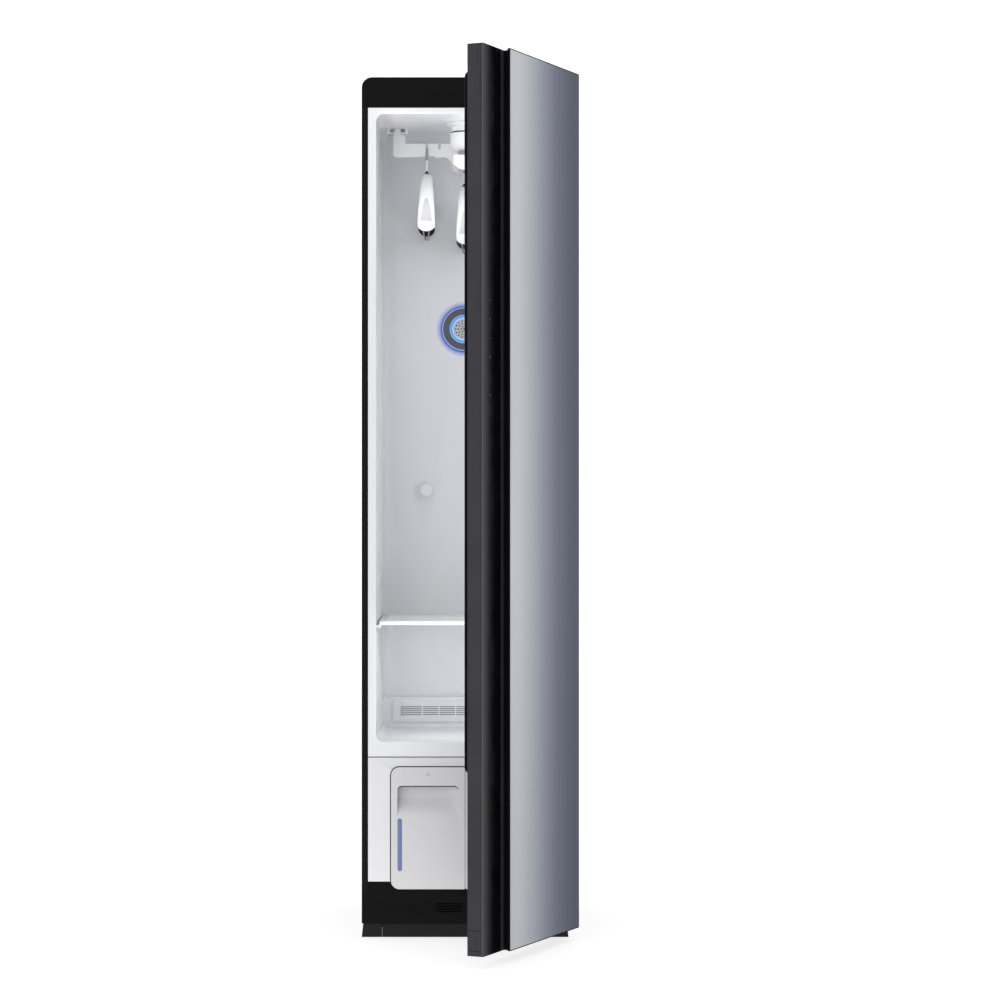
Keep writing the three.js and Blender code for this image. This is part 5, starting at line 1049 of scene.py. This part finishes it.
LINE_WIDTH, LINE_HEIGHT, LINE_CLEAR = 1.7 * MM, 5 * MM, 0.05 * MM
LINE_FOOT, LINE_FALL = 0.2 * MM, 1 * MM
BEZEL_INNER = 33 * MM
BEZEL_CROWN = [(0, 5.4), (0.8, 7), (2.2, 8.2), (3.8, 8.8), (5.6, 8.9)]
BEZEL_SLOPE = [(3.6, 7.2), (1.2, 6.6), (0, 6.2)]
RING_SHOULDER, RING_BEVEL_TOP, RING_BEVEL, RING_CREST = 4.9 * MM, 5.6 * MM, 1.4 * MM, 6 * MM
PLATE_RADIUS, PLATE_RIM, PLATE_BACK = 23.7 * MM, 2 * MM, 0.4 * MM
PLATE_HEIGHT, PLATE_BEVEL = 5 * MM, 0.6 * MM
HOLE_RADIUS, HOLE_PITCH, HOLE_COUNTS = 1.7 * MM, 6.3 * MM, (1, 6, 10, 14)
HOLE_FLOOR, HOLE_TOP, HOLE_SIDES = 1 * MM, 5.08 * MM, 16


def lamp_point(a, b, h):
    """A profile's height above the wall, seen from the front."""
    return (lamp_centre.x + a, lamp_high.y - h, lamp_centre.z + b)


def lamp_part(name, profile, slot, node=None, look=None):
    finished(turned_piece(name, profile, lamp_point), "carcass", slot, node, look)


def lamp_bezel():
    """Grey rim round the light ring with a thin lit line round its own edge."""
    outer = lamp_radius - LINE_WIDTH
    crown = [(outer - inset * MM, height * MM) for inset, height in BEZEL_CROWN]
    slope = [(BEZEL_INNER + inset * MM, height * MM) for inset, height in BEZEL_SLOPE]
    profile = [(BEZEL_INNER, 0), (outer, 0), *crown, *slope]
    lamp_part("lamp_bezel", profile, "lamp_grey", "ring_bezel")
    line = [
        (outer + LINE_CLEAR, LINE_FOOT), (lamp_radius, LINE_FOOT),
        (lamp_radius, LINE_HEIGHT - LINE_FALL), (outer + LINE_CLEAR, LINE_HEIGHT),
    ]
    lamp_part("lamp_line", line, "lamp_blue", look="lamp_line")


def lamp_ring():
    """Lit ring with a low crest."""
    inner, outer = RING_INNER, RING_OUTER
    profile = [
        (inner, 0), (outer, 0), (outer, RING_SHOULDER), (outer - RING_BEVEL, RING_BEVEL_TOP),
        ((inner + outer) / 2, RING_CREST), (inner + RING_BEVEL, RING_BEVEL_TOP),
        (inner, RING_SHOULDER),
    ]
    lamp_part("lamp_ring", profile, "lamp_blue", "ring_light")


def steam_plate():
    """Perforated disc: a turned cup, with near-black plugs in its holes that paint the shade in them."""
    radius = PLATE_RADIUS
    profile = [
        (0, PLATE_BACK), (radius - PLATE_RIM, PLATE_BACK), (radius - PLATE_RIM, 0), (radius, 0),
        (radius, PLATE_HEIGHT - PLATE_BEVEL), (radius - PLATE_BEVEL, PLATE_HEIGHT),
        (0, PLATE_HEIGHT),
    ]
    lamp_part("steam_plate_finish", profile, "plate_grey", "steam_plate")
    bm = bmesh.new()
    for step, count in enumerate(HOLE_COUNTS):
        for middle in circle(step * HOLE_PITCH, count):
            outline = circle(HOLE_RADIUS, HOLE_SIDES, *middle)
            solid_faces(bm, [
                ring_of(bm, [lamp_point(a, b, h) for a, b in outline])
                for h in (HOLE_FLOOR, HOLE_TOP)
            ])
    finished(object_from("steam_hole_shade", bm), "carcass", "plate_grey", look="shadow_black")


lamp_bezel()
lamp_ring()
steam_plate()

# Door, shaped shut

hinge = joints["door_hinge"]
pivot = Vector((hinge["pos_m"][0], hinge["pos_m"][1], 0))
opened = math.radians(-hinge["range_deg"][0])
to_rest = Matrix.Translation(pivot) @ Matrix.Rotation(opened, 4, "Z") @ Matrix.Translation(-pivot)
to_shut = to_rest.inverted()
GASKET_CORNER, GASKET_WIDTH, GASKET_STEPS = 16 * MM, 14 * MM, 8
GASKET_SHARP = math.radians(50)
# Shares of the seal's width and depth
GASKET_SECTION = [
    (0.08, 0), (0.92, 0), (0.92, 0.14), (0.74, 0.2), (0.72, 0.36), (0.9, 0.5), (0.97, 0.7),
    (0.9, 0.9), (0.76, 1), (0.24, 1), (0.1, 0.9), (0.03, 0.7), (0.1, 0.5), (0.28, 0.36),
    (0.26, 0.2), (0.08, 0.14),
]
MIRROR_RIM, MIRROR_LIP, MIRROR_CORNER, GLASS_ROUND = 1.8 * MM, 0.25 * MM, 3 * MM, 0.3 * MM
RIM_BEVEL, RIM_CLEAR, RIM_TOP_CLEAR = 0.3 * MM, 0.02 * MM, 0.1 * MM
# Width, gap and corner of the lighter grey strip that paints the door corner's highlight, and the dark
# glass's corner
CORNER_HIGHLIGHT, HIGHLIGHT_GAP, HIGHLIGHT_CORNER, STRIP_CORNER = 1.2 * MM, 0.1 * MM, 0.5 * MM, 1 * MM
STRIP_ROUND, STRIP_STEPS = 0.25 * MM, 3
MARK_COUNT, MARK_FOOT, MARK_HEAD = 6, 1147 * MM, 1337 * MM
MARK_INSET, MARK_RADIUS, MARK_SIDES, MARK_PROUD = 34 * MM, 3.2 * MM, 32, 0.06 * MM
BAR_MARK_HALF, BAR_MARK_HALF_TALL, BAR_MARK_CORNER = 5 * MM, 0.8 * MM, 0.7 * MM
CAP_SEAMS = (36.6 * MM, 77 * MM)
CAP_SEAM_HALF, CAP_SEAM_PROUD, CAP_SEAM_SINK = 0.5 * MM, 0.04 * MM, 0.5 * MM
CAP_SEAM_FRONT, CAP_SEAM_BACK, CAP_SEAM_CORNER, CAP_SEAM_STEPS = 4 * MM, 1 * MM, 0.4 * MM, 3


def shut_box(node):
    """A door node's lowest and highest corner with the door shut."""
    points = [to_shut @ vertex.co for vertex in nodes[node].data.vertices]
    low = Vector(min(p[k] for p in points) for k in range(3))
    high = Vector(max(p[k] for p in points) for k in range(3))
    return low, high


def on_door(piece, slot, node=None, look=None):
    """Turns a piece that was shaped on the shut door to where the door stands and finishes it."""
    piece.data.transform(to_rest)
    finished(piece, "door", slot, node, look)


def inset_outline(low, high, inset, corner, steps=6):
    return rounded_rectangle(
        low.x + inset, high.x - inset, low.z + inset, high.z - inset, corner - inset, steps,
    )


def gasket():
    """Magnetic seal: a foot in the panel's groove, a pinched bellows and a soft rounded face."""
    low, high = shut_box("door_gasket")
    stations = []
    for width_share, depth_share in GASKET_SECTION:
        inset = width_share * GASKET_WIDTH
        outline = inset_outline(low, high, inset, GASKET_CORNER, GASKET_STEPS)
        stations.append((outline, lerp(low.y, high.y, depth_share)))
    seal = frame_ring("door_seal", stations, GASKET_SHARP)
    on_door(seal, "gasket_rubber", "door_gasket")


def mirror():
    """Mirror sheet with a thin black rim round its edge."""
    low, high = shut_box("mirror_panel")
    sheet = slab(
        "mirror_glass", inset_outline(low, high, MIRROR_RIM, MIRROR_CORNER), upright,
        low.y + MIRROR_LIP, high.y, GLASS_ROUND,
    )
    on_door(sheet, "mirror_glass", "mirror_panel")
    shoulder = low.y + 2 * MIRROR_LIP
    rim = frame_ring("mirror_rim", [
        (inset_outline(low, high, inset, MIRROR_CORNER), level)
        for inset, level in (
            (0, high.y), (0, shoulder), (RIM_BEVEL, low.y), (MIRROR_RIM - RIM_TOP_CLEAR, low.y),
            (MIRROR_RIM - RIM_CLEAR, shoulder), (MIRROR_RIM - RIM_CLEAR, high.y),
        )
    ])
    on_door(rim, "black_trim", look="shadow_black")


def strip_and_trim():
    """Dark glass down the door's free side behind a slim lighter grey strip at the corner, which paints
    the corner's highlight.
    """
    low, high = shut_box("display_strip")
    seam = low.x + CORNER_HIGHLIGHT
    for name, left, right, corner, slot, node, look in (
        ("strip_glass", seam + HIGHLIGHT_GAP, high.x, STRIP_CORNER, "strip_glass", "display_strip", None),
        ("strip_corner_highlight", low.x, seam, HIGHLIGHT_CORNER, "door_grey", None, "trim_grey"),
    ):
        outline = rounded_rectangle(left, right, low.z, high.z, corner, STRIP_STEPS)
        piece = slab(name, outline, upright, low.y, high.y, STRIP_ROUND)
        on_door(piece, slot, node, look)


def display_marks():
    """Dim printed signs on the strip: dots and short bars, one above the other."""
    low = shut_box("display_strip")[0]
    x = low.x + MARK_INSET
    for i in range(MARK_COUNT):
        z = lerp(MARK_FOOT, MARK_HEAD, i / (MARK_COUNT - 1))
        if i % 2:
            points = rounded_rectangle(
                x - BAR_MARK_HALF, x + BAR_MARK_HALF, z - BAR_MARK_HALF_TALL,
                z + BAR_MARK_HALF_TALL, BAR_MARK_CORNER,
            )
        else:
            points = circle(MARK_RADIUS, MARK_SIDES, x, z)
        mark = slab(
            f"display_mark_{i + 1}", points, upright, low.y - MARK_PROUD, low.y + MARK_PROUD,
        )
        on_door(mark, "strip_glass", look="mark_grey")


def cap_seams():
    """Dark joints of the end caps on the door's free edge."""
    low, high = shut_box("door_frame")
    for i, z in enumerate(CAP_SEAMS):
        points = rounded_rectangle(
            low.y + CAP_SEAM_FRONT, high.y - CAP_SEAM_BACK, z - CAP_SEAM_HALF, z + CAP_SEAM_HALF,
            CAP_SEAM_CORNER, CAP_SEAM_STEPS,
        )
        seam = slab(
            f"door_cap_seam_{i + 1}", points, lambda a, b, level: (level, a, b),
            low.x - CAP_SEAM_PROUD, low.x + CAP_SEAM_SINK,
        )
        on_door(seam, "door_grey", look="shadow_black")


gasket()
mirror()
cap_seams()
strip_and_trim()
display_marks()

# Stage, light and camera

CAMERA_X, CAMERA_HEIGHT = -39 * MM, 890 * MM
CAMERA_DISTANCE = 5755 * MM
LENS, SENSOR = 96.3, 36
SHIFT_X, SHIFT_Y = 0.053, 0.0234
ROOM_LIGHT, ROOM_GLOSS = 1.22, 0.45
FLOOR_HALF, FLOOR_GLOW = 9, 0.72
KEY_PLACE, KEY_TARGET, KEY_SIZE, KEY_POWER = (-1.3, -4.6, 1.9), (-0.05, 0.2, 1.0), (2.4, 2.4), 18
# Height, tallness and watts of the lights in the cavity's opening
FRONT_WASHES = {"upper": (1.63, 0.28, 0.22), "lower": (0.56, 0.24, 0.3)}
WASH_WIDTH, WASH_STANDOFF = 0.36, 10 * MM
SIDE_WASH_PLACE, SIDE_WASH_TARGET = (0.165, 0.05, 1.08), (-0.19, 0.09, 1.08)
SIDE_WASH_SIZE, SIDE_WASH_POWER = (0.12, 1.3), 1.15
# Tones on the door's front by the distance from its free edge in mm, as they stand on the card
MIRROR_TONES = [
    (89.5, (0.87, 0.86, 0.89)), (138, (0.795, 0.814, 0.853)), (198, (0.61, 0.645, 0.69)),
    (259, (0.42, 0.44, 0.52)), (321, (0.272, 0.283, 0.344)), (385, (0.186, 0.208, 0.248)),
    (418, (0.164, 0.183, 0.225)),
]
STRIP_TONES = [
    (0, (0.75, 0.74, 0.78)), (7, (0.66, 0.64, 0.73)), (16, (0.43, 0.42, 0.46)),
    (26, (0.21, 0.21, 0.22)), (35, (0.078, 0.078, 0.08)), (44, (0.02, 0.02, 0.02)),
    (54, (0, 0, 0)), (86, (0, 0, 0)),
]
CARD_AIM = 249.5 * MM
CARD_DISTANCE, CARD_HALF = 7, 0.3
CARD_LOW, CARD_HIGH = -3.5, 5.5
CARD_FALL, CARD_DIM = (-1.2, 0.7), 0.86

camera_data = bpy.data.cameras.new("camera")
camera_data.lens = LENS
camera_data.sensor_width = SENSOR
camera_data.shift_x = SHIFT_X
camera_data.shift_y = SHIFT_Y
camera = bpy.data.objects.new("camera", camera_data)
camera.location = (CAMERA_X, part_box("top_cap")[0].y - CAMERA_DISTANCE, CAMERA_HEIGHT)
camera.rotation_euler = (math.pi / 2, 0, 0)
scene.collection.objects.link(camera)
bpy.context.scene.camera = camera
scene.view_settings.view_transform = "Standard"


def white_room():
    """White for the eye and as light, dimmer where surfaces mirror it."""
    world = bpy.data.worlds.new("room")
    scene.world = world
    world.use_nodes = True
    world.cycles.sampling_method = "NONE"
    tree = world.node_tree
    paths = add(tree, "LightPath")
    strength = span(tree, paths.outputs["Is Glossy Ray"], ROOM_LIGHT, ROOM_GLOSS, 0, 1)
    background = tree.nodes["Background"]
    settle(background, {"Color": (1, 1, 1, 1)})
    tree.links.new(strength, background.inputs["Strength"])


def pale_floor():
    """White to the eye with a faint shadow; surfaces take the room's light in its place."""
    bm = bmesh.new()
    half = FLOOR_HALF
    bm.faces.new(ring_of(bm, [(-half, -half, 0), (half, -half, 0), (half, half, 0), (-half, half, 0)]))
    floor = object_from("floor", bm)
    paint = moulded("floor_paint", (0.35, 0.35, 0.352), 0.6, grain=60, depth=0, uneven=0.01, specular=0.1)
    settle(paint.node_tree.nodes["Principled BSDF"], {
        "Emission Color": (1, 1, 1, 1), "Emission Strength": FLOOR_GLOW,
    })
    floor.data.materials.append(paint)
    floor.visible_glossy = False
    floor.visible_diffuse = False


def soft_light(name, location, target, size, power):
    """A rectangular light that neither the camera nor reflections see."""
    data = bpy.data.lights.new(name, "AREA")
    data.shape = "RECTANGLE"
    data.size, data.size_y = size
    data.energy = power
    light = bpy.data.objects.new(name, data)
    light.location = location
    aim = Vector(target) - Vector(location)
    light.rotation_euler = aim.to_track_quat("-Z", "Y").to_euler()
    light.visible_camera = False
    light.visible_glossy = False
    scene.collection.objects.link(light)


def card_tones(stops):
    """Light of the card: its tones across, a little dimmer towards its foot."""
    material = bpy.data.materials.new("card_tones")
    material.use_nodes = True
    tree = material.node_tree
    tree.nodes.clear()
    split = add(tree, "SeparateXYZ", {"Vector": add(tree, "TexCoord").outputs["Object"]})
    share = span(tree, split.outputs["X"], 0, 1, -CARD_HALF, CARD_HALF)
    fall = span(tree, split.outputs["Z"], CARD_DIM, 1, *CARD_FALL)
    emission = add(tree, "Emission", {"Color": stepped(tree, share, stops), "Strength": fall})
    add(tree, "OutputMaterial", {"Surface": emission.outputs["Emission"]})
    return material


def mirror_card():
    """A tall card behind on the right whose tones the mirror shows; only reflections see it."""
    edge = shut_box("display_strip")[0].x
    mirror_face = shut_box("mirror_panel")[0].y
    strip_face = shut_box("display_strip")[0].y
    normal = to_rest.to_3x3() @ Vector((0, -1, 0))

    def across_door(distance, level):
        return to_rest @ Vector((edge + distance, level, CAMERA_HEIGHT))

    def mirrored(place):
        sight = (place - camera.location).normalized()
        return sight - 2 * sight.dot(normal) * normal

    middle = across_door(CARD_AIM, mirror_face)
    away = mirrored(middle)
    centre = middle + CARD_DISTANCE * away
    across = Vector((away.y, -away.x, 0))

    def card_share(distance, level):
        """Where the mirrored sight line of a place on the door meets the card."""
        place = across_door(distance * MM, level)
        ray = mirrored(place)
        reach = (centre - place).dot(away) / ray.dot(away)
        return ((place + reach * ray - centre).dot(across) / CARD_HALF + 1) / 2

    stops = [(card_share(d, mirror_face), tone) for d, tone in MIRROR_TONES]
    stops += [(card_share(d, strip_face), tone) for d, tone in STRIP_TONES]
    stops.sort(key=lambda stop: stop[0])
    corners = (
        (-CARD_HALF, CARD_LOW), (CARD_HALF, CARD_LOW), (CARD_HALF, CARD_HIGH), (-CARD_HALF, CARD_HIGH),
    )
    bm = bmesh.new()
    bm.faces.new(ring_of(bm, [(u, 0, z) for u, z in corners]))
    card = object_from("mirror_card", bm)
    card.matrix_world = Matrix((
        (across.x, away.x, 0, centre.x),
        (across.y, away.y, 0, centre.y),
        (0, 0, 1, 0),
        (0, 0, 0, 1),
    ))
    card.data.materials.append(card_tones(stops))
    card.visible_camera = False
    card.visible_diffuse = False
    card.visible_shadow = False
    card.visible_transmission = False


white_room()
pale_floor()
mirror_card()
soft_light("key", KEY_PLACE, KEY_TARGET, KEY_SIZE, KEY_POWER)
cavity_low, cavity_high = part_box("cavity_liner")
for place, (height, tall, power) in FRONT_WASHES.items():
    soft_light(
        f"front_wash_{place}", (0, cavity_low.y - WASH_STANDOFF, height), (0, cavity_high.y, height),
        (WASH_WIDTH, tall), power,
    )
soft_light("side_wash", SIDE_WASH_PLACE, SIDE_WASH_TARGET, SIDE_WASH_SIZE, SIDE_WASH_POWER)
